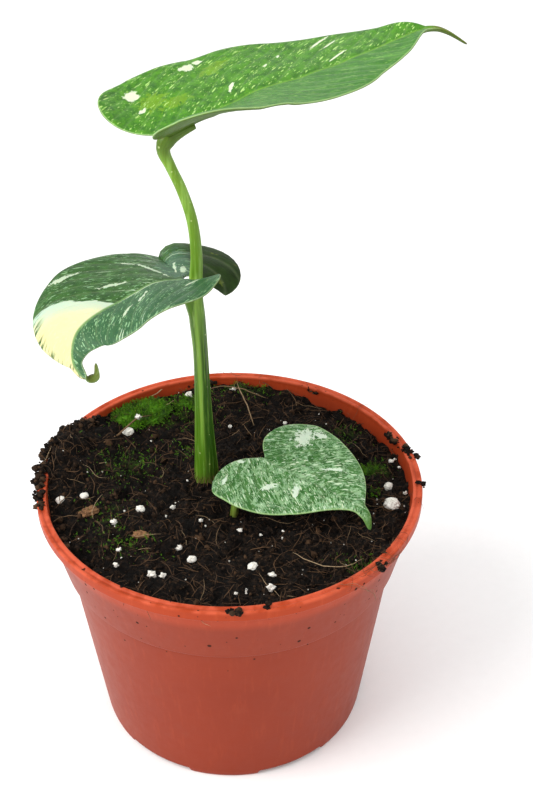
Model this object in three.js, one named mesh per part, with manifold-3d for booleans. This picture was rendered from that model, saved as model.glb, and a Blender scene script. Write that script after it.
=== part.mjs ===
// A young variegated climbing aroid in a round plant pot, filled with soil.
// Millimetres, +Z up. The pot stands on z = 0 with its axis at x = y = 0; the front is -Y.

import * as THREE from "three";
import { mergeVertices } from "three/addons/utils/BufferGeometryUtils.js";
import Module from "manifold-3d";

const wasm = await Module();
wasm.setup();

// Room left between two pieces that touch
const GAP = 0.3;

// Pot: a 12 cm round pot with a collar and a rolled lip
const POT_HEIGHT = 88;
const RIM_RADIUS = 60;
const LIP_WIDTH = 3;
const LIP_DEPTH = 3.4;
const COLLAR_TOP_RADIUS = 58.2;
const COLLAR_FOOT_RADIUS = 53.4;
const COLLAR_FOOT_HEIGHT = 64;
const BODY_TOP_RADIUS = 51.8;
const BASE_RADIUS = 43.6;
const WALL = 1.6;
const FLOOR = 3.4;
const POT_SIDES = 60;

// Six feet on the bottom edge, with a drain hole in each notch between them
const FOOT_COUNT = 6;
const NOTCH_HEIGHT = 2;
const NOTCH_ANGLE = 30;
const NOTCH_DEPTH = 9;
const FIRST_NOTCH = -63;
const DRAIN_RADIUS = 3.5;
const DRAIN_CIRCLE = 37;

// Soil: nearly level, a few millimetres under the rim and heaped over the rim at the left
const SOIL_LEVEL = 83;
const HEAP_ANGLE = 163;
const HEAP_SPREAD = 20;
const HEAP_HEIGHT = 9;
const LUMP = 0.9;
// Low mounds as [x, y, half width, half depth, height]: at the back, back left and round the stem
const MOUNDS = [
  [2, 52, 14, 10, 3],
  [-34, 40, 12, 12, 1.8],
  [-7, 4, 12, 12, 1.2],
];
const SOIL_RINGS = 16;
const SOIL_SPOKES = 60;

// Leaves are firm and about a millimetre thick; a back lobe lifts slowly at first
const BLADE = 0.9;
const RISE_EASE = 1.6;

// Stem: flattened sheath, then the stalk of the top leaf
const STEM_FOOT = 56.6;
const STALK_SIDES = 12;

const COLORS = {
  pot: 0xaa4b32,
  soil: 0x3b2a1e,
  stem: 0x8cae4c,
  roots: 0xb9a27c,
  leafTop: 0x5c9a2e,
  leafLeft: 0x4c7a40,
  leafSmall: 0x6f9a6a,
  perlite: 0xe8e4d8,
  bark: 0x7a5636,
  moss: 0x4f7f26,
};

const radians = (degrees) => (degrees * Math.PI) / 180;
const mix = (a, b, t) => a + (b - a) * t;
const clamp = (x, low, high) => Math.min(high, Math.max(low, x));

// Closed solid from a list of points and a list of triangles
function solid(points, triangles) {
  const mesh = new wasm.Mesh({
    numProp: 3,
    vertProperties: new Float32Array(points.flat()),
    triVerts: new Uint32Array(triangles.flat()),
  });
  mesh.merge();
  return new wasm.Manifold(mesh);
}

// Closed solid from a three.js geometry
function solidOf(geometry) {
  const bare = new THREE.BufferGeometry();
  bare.setAttribute("position", geometry.getAttribute("position"));
  bare.setIndex(geometry.index);
  const merged = mergeVertices(bare, 1e-3);
  const position = merged.getAttribute("position");
  const points = [];
  for (let i = 0; i < position.count; i++) {
    points.push([position.getX(i), position.getY(i), position.getZ(i)]);
  }
  const triangles = [];
  for (let i = 0; i < merged.index.count; i += 3) {
    const [a, b, c] = [0, 1, 2].map((k) => merged.index.getX(i + k));
    if (a !== b && b !== c && c !== a) triangles.push([a, b, c]);
  }
  return solid(points, triangles);
}

// Named mesh with the look of its own material
function piece(name, body, color, roughness) {
  const mesh = body.getMesh();
  const geometry = new THREE.BufferGeometry();
  const points = new Float32Array(mesh.numVert * 3);
  for (let i = 0; i < mesh.numVert; i++) {
    points.set(mesh.vertProperties.subarray(i * mesh.numProp, i * mesh.numProp + 3), i * 3);
  }
  geometry.setAttribute("position", new THREE.BufferAttribute(points, 3));
  geometry.setIndex(new THREE.BufferAttribute(mesh.triVerts.slice(), 1));
  geometry.computeVertexNormals();
  const look = new THREE.MeshStandardMaterial({ color, roughness, metalness: 0 });
  const result = new THREE.Mesh(geometry, look);
  result.name = name;
  return result;
}

// Body turned about the pot's axis; the profile runs from axis to axis as [radius, height]
function turned(profile, sides) {
  const line = profile.map(([radius, height]) => new THREE.Vector2(radius, height));
  const geometry = new THREE.LatheGeometry(line, sides);
  geometry.rotateX(Math.PI / 2);
  return solidOf(geometry);
}

// Smooth curve through rows of numbers at given stations
function along(rows, stations, s) {
  const last = stations.length - 1;
  let i = 0;
  while (i < last - 1 && s >= stations[i + 1]) i++;
  const step = stations[i + 1] - stations[i];
  const t = (s - stations[i]) / step;
  const slope = (j, k) => {
    const before = Math.max(0, j - 1);
    const after = Math.min(last, j + 1);
    return (rows[after][k] - rows[before][k]) / (stations[after] - stations[before]);
  };
  const h00 = 2 * t ** 3 - 3 * t ** 2 + 1;
  const h10 = t ** 3 - 2 * t ** 2 + t;
  const h01 = 3 * t ** 2 - 2 * t ** 3;
  const h11 = t ** 3 - t ** 2;
  return rows[i].map(
    (value, k) =>
      h00 * value + h10 * step * slope(i, k) + h01 * rows[i + 1][k] + h11 * step * slope(i + 1, k),
  );
}

// Distance from the first row to each row, by its first three numbers
function distances(rows) {
  const result = [0];
  for (let i = 1; i < rows.length; i++) {
    const step = Math.hypot(...[0, 1, 2].map((k) => rows[i][k] - rows[i - 1][k]));
    result.push(result[i - 1] + step);
  }
  return result;
}

// Round or flattened limb through rows of [x, y, z, half width, half depth]
function limb(rows, { sides = 12, step = 3, grow = 0 } = {}) {
  const stations = distances(rows);
  const length = stations[stations.length - 1];
  const count = Math.max(2, Math.round(length / step));
  const points = [];
  const triangles = [];
  const side = new THREE.Vector3(1, 0, 0);
  for (let i = 0; i <= count; i++) {
    const s = (length * i) / count;
    const row = along(rows, stations, s);
    const ahead = along(rows, stations, Math.min(length, s + 0.1));
    const behind = along(rows, stations, Math.max(0, s - 0.1));
    const way = new THREE.Vector3(...ahead).sub(new THREE.Vector3(...behind)).normalize();
    side.addScaledVector(way, -side.dot(way)).normalize();
    const deep = way.clone().cross(side);
    const pushed = i === 0 ? -grow : i === count ? grow : 0;
    for (let j = 0; j < sides; j++) {
      const a = (2 * Math.PI * j) / sides;
      const point = new THREE.Vector3(row[0], row[1], row[2])
        .addScaledVector(way, pushed)
        .addScaledVector(side, Math.cos(a) * (row[3] + grow))
        .addScaledVector(deep, Math.sin(a) * (row[4] + grow));
      points.push(point.toArray());
    }
  }
  for (let i = 0; i < count; i++) {
    for (let j = 0; j < sides; j++) {
      const a = i * sides + j;
      const b = i * sides + ((j + 1) % sides);
      triangles.push([a, b, b + sides], [a, b + sides, a + sides]);
    }
  }
  const top = count * sides;
  for (let j = 1; j < sides - 1; j++) {
    triangles.push([0, j + 1, j], [top, top + j, top + j + 1]);
  }
  return solid(points, triangles);
}

// Rounded lump: a coarse sphere stretched to three half sizes and turned about the vertical
function lump(center, sizes, turn, grow = 0) {
  const geometry = new THREE.IcosahedronGeometry(1, 1);
  geometry.scale(sizes[0] + grow, sizes[1] + grow, sizes[2] + grow);
  geometry.rotateZ(radians(turn));
  geometry.translate(...center);
  return solidOf(geometry);
}

// Outer skin of the pot, from the middle of the base up and over the lip
function potOutside(grow) {
  const lipFoot = POT_HEIGHT - LIP_DEPTH;
  return [
    [BASE_RADIUS - 1 + grow, -grow],
    [BASE_RADIUS + grow, 1 - grow],
    [BODY_TOP_RADIUS + grow, COLLAR_FOOT_HEIGHT - 0.8 - grow],
    [COLLAR_FOOT_RADIUS + grow, COLLAR_FOOT_HEIGHT - grow],
    [COLLAR_TOP_RADIUS + grow, lipFoot - 0.4 - grow],
    [RIM_RADIUS - 0.4 + grow, lipFoot - grow],
    [RIM_RADIUS + grow, lipFoot + 0.5],
    [RIM_RADIUS + grow, POT_HEIGHT - 0.5],
    [RIM_RADIUS - 0.4 + grow, POT_HEIGHT + grow],
  ];
}

// Inner skin of the pot, from the lip down to the floor; a positive grow moves it inward
function potInside(grow) {
  const lipInner = RIM_RADIUS - LIP_WIDTH;
  return [
    [lipInner + 0.4 - grow, POT_HEIGHT + grow],
    [lipInner - grow, POT_HEIGHT - 0.6],
    [COLLAR_TOP_RADIUS - WALL - grow, POT_HEIGHT - LIP_DEPTH],
    [COLLAR_FOOT_RADIUS - WALL - grow, COLLAR_FOOT_HEIGHT + 1],
    [BODY_TOP_RADIUS - WALL - grow, COLLAR_FOOT_HEIGHT - 1],
    [BASE_RADIUS - WALL + 0.6 - grow, FLOOR + 2],
    [BASE_RADIUS - WALL - 1.4 - grow, FLOOR + grow],
  ];
}

// Wedge-shaped notch under the bottom edge
function notch(angle) {
  const points = [];
  const steps = 6;
  for (let i = 0; i <= steps; i++) {
    const a = radians(angle - NOTCH_ANGLE / 2 + (NOTCH_ANGLE * i) / steps);
    for (const [radius, height] of [
      [BASE_RADIUS - NOTCH_DEPTH, -1],
      [BASE_RADIUS + 3, -1],
      [BASE_RADIUS + 3, NOTCH_HEIGHT],
      [BASE_RADIUS - NOTCH_DEPTH, NOTCH_HEIGHT],
    ]) {
      points.push([radius * Math.cos(a), radius * Math.sin(a), height]);
    }
  }
  const triangles = [[0, 1, 2], [0, 2, 3]];
  for (let i = 0; i < steps; i++) {
    for (let j = 0; j < 4; j++) {
      const a = 4 * i + j;
      const b = 4 * i + ((j + 1) % 4);
      triangles.push([a, b + 4, b], [a, a + 4, b + 4]);
    }
  }
  const end = 4 * steps;
  triangles.push([end, end + 2, end + 1], [end, end + 3, end + 2]);
  return solid(points, triangles);
}

function pot() {
  const profile = [[0, 0], ...potOutside(0), ...grooved(), ...potInside(0), [0, FLOOR]];
  let body = turned(profile, POT_SIDES);
  for (let i = 0; i < FOOT_COUNT; i++) {
    const angle = FIRST_NOTCH + (360 * i) / FOOT_COUNT;
    const x = DRAIN_CIRCLE * Math.cos(radians(angle));
    const y = DRAIN_CIRCLE * Math.sin(radians(angle));
    const hole = limb(
      [[x, y, -1, DRAIN_RADIUS, DRAIN_RADIUS], [x, y, FLOOR + 1, DRAIN_RADIUS, DRAIN_RADIUS]],
      { sides: 16, step: 10 },
    );
    body = body.subtract(notch(angle)).subtract(hole);
  }
  return body;
}

// Shallow groove that runs round the flat top of the lip
function grooved() {
  const middle = RIM_RADIUS - LIP_WIDTH / 2;
  return [
    [middle + 0.5, POT_HEIGHT],
    [middle + 0.25, POT_HEIGHT - 0.35],
    [middle - 0.25, POT_HEIGHT - 0.35],
    [middle - 0.5, POT_HEIGHT],
  ];
}

// Height of the soil at a place
function soilHeight(x, y) {
  const radius = Math.hypot(x, y);
  const angle = (Math.atan2(y, x) * 180) / Math.PI;
  const off = ((((angle - HEAP_ANGLE) % 360) + 540) % 360) - 180;
  const inward = clamp((RIM_RADIUS - 2 - radius) / 26, 0, 1);
  const heap = HEAP_HEIGHT * Math.exp(-((off / HEAP_SPREAD) ** 2)) * Math.exp(-4 * inward ** 2);
  const crumbs =
    LUMP * 0.55 * Math.sin(0.31 * x + 1.3) * Math.cos(0.27 * y - 0.4) +
    LUMP * 0.4 * Math.sin(0.73 * x - 0.5 * y + 2.1) +
    LUMP * 0.3 * Math.cos(0.9 * y + 0.41 * x);
  const mounds = MOUNDS.reduce((sum, [middleX, middleY, wide, deep, high]) => {
    return sum + high * Math.exp(-(((x - middleX) / wide) ** 2) - ((y - middleY) / deep) ** 2);
  }, 0);
  const spill = -1.6 * Math.max(0, radius - RIM_RADIUS + 2);
  return SOIL_LEVEL + heap + crumbs + mounds + spill;
}

// Ground cut to the pot's inside, with room for everything that stands in it
function soil(buried) {
  const points = [[0, 0, soilHeight(0, 0)]];
  const reach = RIM_RADIUS + 0.8;
  for (let i = 1; i <= SOIL_RINGS; i++) {
    for (let j = 0; j < SOIL_SPOKES; j++) {
      const radius = (reach * i) / SOIL_RINGS;
      const a = (2 * Math.PI * (j + (i % 2) / 2)) / SOIL_SPOKES;
      const x = radius * Math.cos(a);
      const y = radius * Math.sin(a);
      points.push([x, y, soilHeight(x, y)]);
    }
  }
  const ring = (i, j) => 1 + (i - 1) * SOIL_SPOKES + (j % SOIL_SPOKES);
  const triangles = [];
  for (let j = 0; j < SOIL_SPOKES; j++) triangles.push([0, ring(1, j), ring(1, j + 1)]);
  for (let i = 1; i < SOIL_RINGS; i++) {
    for (let j = 0; j < SOIL_SPOKES; j++) {
      const k = i % 2;
      triangles.push([ring(i, j), ring(i + 1, j + k), ring(i, j + 1)]);
      triangles.push([ring(i, j + 1 - k), ring(i + 1, j), ring(i + 1, j + 1)]);
    }
  }
  const under = points.length;
  for (let j = 0; j < SOIL_SPOKES; j++) {
    const [x, y] = points[ring(SOIL_RINGS, j)];
    points.push([x, y, 0]);
  }
  points.push([0, 0, 0]);
  const bottom = points.length - 1;
  for (let j = 0; j < SOIL_SPOKES; j++) {
    const next = under + ((j + 1) % SOIL_SPOKES);
    triangles.push([ring(SOIL_RINGS, j), under + j, next]);
    triangles.push([ring(SOIL_RINGS, j), next, ring(SOIL_RINGS, j + 1)]);
    triangles.push([bottom, next, under + j]);
  }
  const mould = turned(
    [
      [0, -5],
      [RIM_RADIUS + 6, -5],
      [RIM_RADIUS + 6, POT_HEIGHT + GAP],
      ...potInside(GAP),
      [0, FLOOR + GAP],
    ],
    POT_SIDES,
  );
  return buried.reduce((body, thing) => body.subtract(thing), solid(points, triangles).subtract(mould));
}

// Each leaf: where its midrib runs, how each half rises from it, and the outline of each half.
// A midrib row is [x, y, z, sideways x, sideways y, rise of the far half, rise of the near half].
const LEAF_TOP = {
  facing: -1,
  drip: [15, 1.8],
  halves: [
    { back: 15, width: 31, widest: 8, lobe: 17, open: 1, p: 2.3, q: 0.8, nod: -22, turn: 15, rise: 22 },
    { back: 6, width: 29, widest: 12, lobe: 10, open: 1, p: 2.2, q: 0.8, nod: 0, turn: 5, rise: 34 },
  ],
  midrib: [
    [-14.5, 5.8, 200.9, -0.27, 0.96, 12, 30],
    [-7.3, 9.0, 203.8, -0.27, 0.96, 9, 25],
    [1.0, 13.0, 206.1, -0.27, 0.96, 6, 18],
    [9.1, 17.0, 208.4, -0.27, 0.96, 4, 13],
    [21.7, 22.0, 210.6, -0.27, 0.96, 2, 8],
    [34.5, 28.0, 213.1, -0.27, 0.96, 0, 6],
    [46.2, 32.0, 216.6, -0.27, 0.96, 0, 6],
    [53.6, 35.0, 218.8, -0.27, 0.96, 14, 16],
    [60.0, 37.0, 218.4, -0.27, 0.96, 26, 26],
    [68.5, 41.0, 212.9, -0.27, 0.96, 30, 30],
  ],
};

const LEAF_LEFT = {
  facing: 1,
  drip: [11, 2.6],
  halves: [
    { back: 12.5, width: 29, widest: 12, lobe: 7, open: 0.25, p: 2.3, q: 0.74, nod: 72, turn: 5, rise: 92 },
    { back: 9, width: 20, widest: 10, lobe: 8.5, open: 0.4, p: 2.0, q: 0.85, nod: -5, turn: 5, rise: 24 },
  ],
  midrib: [
    [-12.5, 4.5, 157.0, -0.25, 0.96, -14, 12],
    [-21.1, 1.5, 157.0, -0.28, 0.95, -9, 9],
    [-30.1, -2.5, 153.8, -0.36, 0.93, 0, 6],
    [-36.8, -7.0, 151.6, -0.5, 0.86, 2, 0],
    [-41.3, -11.0, 149.0, -0.68, 0.72, -2, -4],
    [-42.9, -14.5, 145.3, -0.8, 0.6, -10, -4],
    [-41.9, -17.0, 141.1, -0.85, 0.52, -14, -4],
    [-39.1, -18.5, 138.4, -0.85, 0.52, -8, 0],
    [-36.3, -18.5, 138.7, -0.6, 0.8, 0, 0],
    [-36.3, -16.4, 142.0, -0.6, 0.8, 0, 0],
  ],
};

const LEAF_SMALL = {
  facing: -1,
  drip: [7, 2.6],
  halves: [
    { back: 4.5, width: 20, widest: 8, lobe: 7, open: 0.8, p: 2.2, q: 0.8, nod: 0, turn: 5, rise: 12 },
    { back: 14, width: 20, widest: 1, lobe: 12, open: 0.8, p: 1.5, q: 1.05, nod: 32, turn: 13, rise: -26 },
  ],
  midrib: [
    [10.9, -1.0, 96.9, 0.5, 0.87, 10, -14],
    [17.1, -5.0, 95.6, 0.5, 0.87, 12, -16],
    [24.7, -9.0, 94.2, 0.5, 0.87, 12, -16],
    [32.1, -13.0, 93.0, 0.5, 0.87, 10, -14],
    [37.9, -17.0, 91.8, 0.6, 0.8, 4, -12],
    [41.3, -19.6, 89.3, 0.7, 0.7, -4, -10],
    [42.6, -21.6, 85.4, 0.7, 0.7, -4, -10],
  ],
};

// Inner and outer distance from the midrib at a station s of one half
function edges(leaf, length, half, s) {
  const { back, width, widest, lobe, open, p, q } = half;
  const gone = Math.max(0, -s / back) ** open;
  const inner = lobe * (1 - Math.sqrt(Math.max(0, 1 - gone)));
  if (s <= widest) {
    const u = (widest - s) / (widest + back);
    return [inner, lobe + (width - lobe) * Math.sqrt(Math.max(0, 1 - u * u))];
  }
  const [dripLength, dripWidth] = leaf.drip;
  const x = clamp((s - widest) / (length - dripLength - widest), 0, 1);
  const taper = width * (1 - x ** p) ** q;
  const point = Math.sqrt(clamp((length - s) / (1.6 * dripLength), 0, 1));
  return [inner, Math.hypot(taper, dripWidth * Math.min(1, 2 * x) * point)];
}

// Point of the blade at station s and distance y from the midrib
function bladePoint(leaf, stations, side, s, y) {
  const half = leaf.halves[side];
  const f = Math.max(0, s);
  const row = along(leaf.midrib, stations, f);
  const ahead = along(leaf.midrib, stations, f + 0.05);
  const behind = along(leaf.midrib, stations, Math.max(0, f - 0.05));
  const way = new THREE.Vector3(...ahead).sub(new THREE.Vector3(...behind)).normalize();
  const out = new THREE.Vector3(row[3], row[4], 0);
  out.addScaledVector(way, -out.dot(way)).normalize();
  const up = out.clone().cross(way).multiplyScalar(leaf.facing);
  const back = Math.max(0, -s);
  const curl = (radians(half.nod) || 1e-6) / half.turn;
  const bent = Math.min(back, half.turn);
  const angle = curl * bent;
  const straight = back - bent;
  const point = new THREE.Vector3(row[0], row[1], row[2])
    .addScaledVector(way, -Math.sin(angle) / curl - straight * Math.cos(angle))
    .addScaledVector(up, -(1 - Math.cos(angle)) / curl - straight * Math.sin(angle));
  const lift = up.multiplyScalar(Math.cos(angle)).addScaledVector(way, -Math.sin(angle));
  const rise = radians(mix(row[5 + side], half.rise, (back / half.back) ** RISE_EASE));
  const away = side === 0 ? 1 : -1;
  return point
    .addScaledVector(out, away * y * Math.cos(rise))
    .addScaledVector(lift, y * Math.sin(rise))
    .toArray();
}

// Middle surface of a leaf: both halves share the midrib, the back lobes hang free
function bladeSurface(leaf, rows, columns) {
  const stations = distances(leaf.midrib);
  const length = stations[stations.length - 1];
  const points = [];
  const triangles = [];
  const known = new Map();
  const vertex = (side, s, y) => {
    const point = bladePoint(leaf, stations, side, s, y);
    const key = point.map((value) => value.toFixed(3)).join();
    if (!known.has(key)) {
      known.set(key, points.length);
      points.push(point);
    }
    return known.get(key);
  };
  for (const side of [0, 1]) {
    const half = leaf.halves[side];
    const backRows = Math.max(3, Math.round(half.back / 3));
    const places = [];
    for (let i = 0; i <= backRows; i++) {
      places.push(-half.back * Math.cos((Math.PI / 2) * (i / backRows)));
    }
    for (let i = 1; i <= rows; i++) places.push((length * i) / rows);
    const grid = places.map((s) => {
      const [inner, outer] = edges(leaf, length, half, s);
      return Array.from({ length: columns + 1 }, (_, j) => {
        return vertex(side, s, mix(inner, outer, j / columns));
      });
    });
    for (let i = 0; i < grid.length - 1; i++) {
      for (let j = 0; j < columns; j++) {
        const [a, b, c, d] = [grid[i][j], grid[i + 1][j], grid[i + 1][j + 1], grid[i][j + 1]];
        for (const [u, v, w] of [[a, b, c], [a, c, d]]) {
          if (u === v || v === w || w === u) continue;
          triangles.push((side === 0) === (leaf.facing > 0) ? [u, w, v] : [u, v, w]);
        }
      }
    }
  }
  return { points, triangles };
}

// Surface given a thickness, with a wall along its free edges
function thickened({ points, triangles }, thickness) {
  const geometry = new THREE.BufferGeometry();
  geometry.setAttribute("position", new THREE.Float32BufferAttribute(points.flat(), 3));
  geometry.setIndex(triangles.flat());
  geometry.computeVertexNormals();
  const normal = geometry.getAttribute("normal");
  const shifted = (sign) =>
    points.map((point, i) => {
      const n = [normal.getX(i), normal.getY(i), normal.getZ(i)];
      return point.map((value, k) => value + (sign * n[k] * thickness) / 2);
    });
  const count = points.length;
  const faces = [];
  const used = new Set();
  for (const [a, b, c] of triangles) {
    faces.push([a, b, c], [count + a, count + c, count + b]);
    for (const [u, v] of [[a, b], [b, c], [c, a]]) used.add(`${u},${v}`);
  }
  for (const edge of used) {
    const [u, v] = edge.split(",").map(Number);
    if (used.has(`${v},${u}`)) continue;
    faces.push([u, count + u, count + v], [u, count + v, v]);
  }
  return solid([...shifted(1), ...shifted(-1)], faces);
}

function leaf(shape, rows, columns, grow = 0) {
  return thickened(bladeSurface(shape, rows, columns), BLADE + 2 * grow);
}

// Sheathed stem with the stalk of the top leaf, the short stalk of the left leaf and
// the stalk of the small leaf, which leaves the stem below the soil
function stem(grow = 0) {
  const main = limb(
    [
      [-7.2, 5.8, STEM_FOOT, 4.2, 4.2],
      [-7.2, 5.8, 70, 4.2, 4.0],
      [-7.5, 5.8, 82, 4.0, 3.6],
      [-7.8, 5.8, 96, 3.2, 2.9],
      [-8.0, 5.8, 113, 2.5, 2.4],
      [-8.2, 5.8, 131, 2.2, 2.2],
      [-8.9, 5.8, 144, 2.4, 2.1],
      [-9.2, 5.8, 152, 2.1, 1.9],
      [-8.5, 5.8, 164, 1.7, 1.7],
      [-9.4, 5.8, 175, 1.55, 1.6],
      [-11.9, 5.8, 184.3, 1.5, 1.6],
      [-14.9, 5.8, 191.8, 1.5, 1.6],
      [-16.5, 5.8, 196.2, 1.6, 1.7],
      [-15.4, 6.1, 199.0, 1.9, 1.8],
      [-12.2, 7.2, 200.6, 1.6, 1.4],
      [-8.0, 8.9, 202.0, 1.0, 1.0],
    ],
    { sides: STALK_SIDES, step: 4, grow },
  );
  const left = limb(
    [
      [-9.0, 5.6, 141, 1.6, 1.6],
      [-10.3, 5.2, 147.5, 1.7, 1.6],
      [-11.9, 4.7, 152.6, 1.4, 1.4],
      [-13.4, 4.2, 155.2, 1.4, 1.3],
      [-17.0, 3.0, 156.0, 0.9, 0.8],
    ],
    { sides: 8, step: 2.6, grow },
  );
  const small = limb(
    [
      [-5.6, 3.6, 64, 1.6, 1.6],
      [-1.2, -7.0, 72, 1.5, 1.5],
      [1.0, -11.0, 80, 1.3, 1.3],
      [1.9, -10.9, 86.5, 1.2, 1.2],
      [4.6, -7.0, 92.6, 1.1, 1.1],
      [8.6, -2.4, 95.3, 1.1, 1.1],
      [12.4, -2.0, 95.2, 0.8, 0.8],
    ],
    { sides: 8, step: 3.4, grow },
  );
  return main.add(left).add(small);
}

// Thick roots that spread from a crown under the stem
function roots(grow = 0) {
  const ways = [
    [20, 34, 16],
    [95, 27, 12],
    [160, 27, 22],
    [225, 36, 14],
    [300, 40, 18],
  ];
  let body = limb(
    [
      [-7.2, 5.8, 44, 3.4, 3.4],
      [-7.2, 5.8, 50, 4.2, 4.2],
      [-7.2, 5.8, STEM_FOOT - GAP, 3.6, 3.6],
    ],
    { sides: 10, step: 5, grow },
  );
  for (const [angle, reach, depth] of ways) {
    const x = Math.cos(radians(angle));
    const y = Math.sin(radians(angle));
    const bend = Math.cos(radians(angle + 25));
    body = body.add(
      limb(
        [
          [-7.2 + 1 * x, 5.8 + 1 * y, 50, 1.8, 1.8],
          [-7.2 + 0.3 * reach * x, 5.8 + 0.3 * reach * y, 42, 1.6, 1.6],
          [-7.2 + 0.7 * reach * x + 2 * bend, 5.8 + 0.7 * reach * y, mix(depth, 42, 0.5), 1.3, 1.3],
          [-7.2 + reach * x, 5.8 + reach * y, depth, 0.8, 0.8],
        ],
        { sides: 6, step: 8, grow },
      ),
    );
  }
  return body;
}

// Loose things on the soil as [x, y, half sizes, turn]
const PERLITE = [
  [50.4, -7.0, 2.6, 2.2, 2.0, 20],
  [50.0, 3.0, 1.5, 1.3, 1.1, 50],
  [-34.6, 28.7, 1.9, 1.5, 1.3, 10],
  [-52.5, -6.5, 1.5, 1.2, 1.0, 70],
  [-45.5, -4.0, 1.3, 1.1, 1.0, 30],
  [-27.5, -9.5, 1.4, 1.2, 1.0, 0],
  [7.4, -35.6, 1.7, 1.3, 1.1, 40],
  [-10.6, -32.3, 1.4, 1.1, 1.0, 15],
];
const BARK = [
  [-43.4, -11.1, 3.2, 1.7, 1.2, 35],
  [-26.3, -21.1, 2.6, 1.4, 1.0, -15],
];
const MOSS = [
  [-31.0, 39.0, 10.5, 6.5, 2.4, 30],
  [-15.5, 46.0, 5.0, 4.0, 2.0, 0],
  [45.0, 11.0, 3.0, 2.4, 1.3, 40],
];

function onSoil([x, y, a, b, c, turn], grow = 0) {
  return lump([x, y, soilHeight(x, y) + 0.25 * c], [a, b, c], turn, grow);
}

function plant() {
  const group = new THREE.Group();
  const loose = [...PERLITE, ...BARK, ...MOSS].map((thing) => onSoil(thing, GAP));
  const leaves = [
    [LEAF_TOP, 24, 6],
    [LEAF_LEFT, 20, 6],
    [LEAF_SMALL, 14, 5],
  ];
  const clear = leaves.map(([shape, rows, columns]) => leaf(shape, rows, columns, GAP));
  const stalks = clear.reduce((body, thing) => body.subtract(thing), stem());
  const ground = soil([stem(GAP), roots(GAP), ...loose, clear[2]]);
  group.add(piece("pot", pot(), COLORS.pot, 0.45));
  group.add(piece("soil", ground, COLORS.soil, 0.95));
  group.add(piece("stem", stalks, COLORS.stem, 0.5));
  group.add(piece("roots", roots(), COLORS.roots, 0.8));
  group.add(piece("leaf_top", leaf(...leaves[0]), COLORS.leafTop, 0.4));
  group.add(piece("leaf_left", leaf(...leaves[1]), COLORS.leafLeft, 0.4));
  group.add(piece("leaf_small", leaf(...leaves[2]), COLORS.leafSmall, 0.45));
  PERLITE.forEach((thing, i) => {
    group.add(piece(`perlite_${i + 1}`, onSoil(thing), COLORS.perlite, 0.9));
  });
  BARK.forEach((thing, i) => {
    group.add(piece(`bark_${i + 1}`, onSoil(thing), COLORS.bark, 0.9));
  });
  MOSS.forEach((thing, i) => {
    group.add(piece(`moss_${i + 1}`, onSoil(thing), COLORS.moss, 0.95));
  });
  return group;
}

const group = plant();

export default group;
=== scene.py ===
"""Looks of a young variegated monstera in a terracotta-coloured nursery pot.

Sizes are in millimetres until a mesh is made, then in metres. +Z is up, the pot stands on z = 0
with its axis at x = y = 0, and the front is -Y.
"""

import math

import bpy
import numpy as np
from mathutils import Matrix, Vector, noise


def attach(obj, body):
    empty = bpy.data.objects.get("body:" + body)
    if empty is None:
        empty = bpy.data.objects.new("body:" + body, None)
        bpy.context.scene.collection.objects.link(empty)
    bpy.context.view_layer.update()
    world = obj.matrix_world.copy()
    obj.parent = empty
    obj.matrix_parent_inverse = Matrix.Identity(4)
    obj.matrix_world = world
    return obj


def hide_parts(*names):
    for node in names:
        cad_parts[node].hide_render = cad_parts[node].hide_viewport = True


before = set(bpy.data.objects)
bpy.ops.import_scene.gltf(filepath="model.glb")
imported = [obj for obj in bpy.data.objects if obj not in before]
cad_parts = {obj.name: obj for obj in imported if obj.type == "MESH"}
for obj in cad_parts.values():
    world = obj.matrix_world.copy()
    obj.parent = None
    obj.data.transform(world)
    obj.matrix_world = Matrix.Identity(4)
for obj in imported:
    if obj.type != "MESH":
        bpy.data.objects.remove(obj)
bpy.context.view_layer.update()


# Pot
# A round nursery pot of injection-moulded polypropylene, 12 cm across the rim and coloured like
# terracotta. A collar steps out near the top, the thickened lip has a shallow groove on it, and
# six notches under the bottom edge let water out of the drain holes.

MM = 0.001
POT_HEIGHT = 88
RIM_RADIUS = 60
LIP_WIDTH = 3
LIP_DEPTH = 3.4
COLLAR_TOP_RADIUS = 58.2
COLLAR_FOOT_RADIUS = 53.4
COLLAR_FOOT_HEIGHT = 64
BODY_TOP_RADIUS = 51.8
BASE_RADIUS = 43.6
WALL = 1.6
FLOOR = 3.4
POT_SIDES = 288
FOOT_COUNT = 6
FIRST_NOTCH = -63
NOTCH_SPACING = 360 / FOOT_COUNT
NOTCH_ANGLE = 30
NOTCH_HEIGHT = 2
NOTCH_DEPTH = 9
DRAIN_RADIUS = 3.5
DRAIN_CIRCLE = 37


def mix(a, b, t):
    return a + (b - a) * t


def clamp(x, low=0.0, high=1.0):
    return min(high, max(low, x))


def smooth(low, high, x):
    """Soft step from 0 at low to 1 at high."""
    t = clamp((x - low) / (high - low))
    return t * t * (3 - 2 * t)


def mesh_object(name, points, faces):
    """Smooth-shaded object at the origin from points in millimetres."""
    mesh = bpy.data.meshes.new(name)
    mesh.from_pydata([[value * MM for value in point] for point in points], [], faces)
    mesh.update()
    mesh.shade_smooth()
    made = bpy.data.objects.new(name, mesh)
    bpy.context.collection.objects.link(made)
    return made


def rounded(corners, steps=5):
    """Outline through corners given as (radius, height, rounding)."""
    line = []
    for i, (radius, height, rounding) in enumerate(corners):
        here = Vector((radius, height))
        if rounding == 0:
            line.append(here)
            continue
        before = Vector(corners[i - 1][:2]) - here
        after = Vector(corners[i + 1][:2]) - here
        start = here + before.normalized() * min(rounding, before.length * 0.45)
        end = here + after.normalized() * min(rounding, after.length * 0.45)
        for k in range(steps + 1):
            t = k / steps
            line.append(start.lerp(here, t).lerp(here.lerp(end, t), t))
    return line


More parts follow.
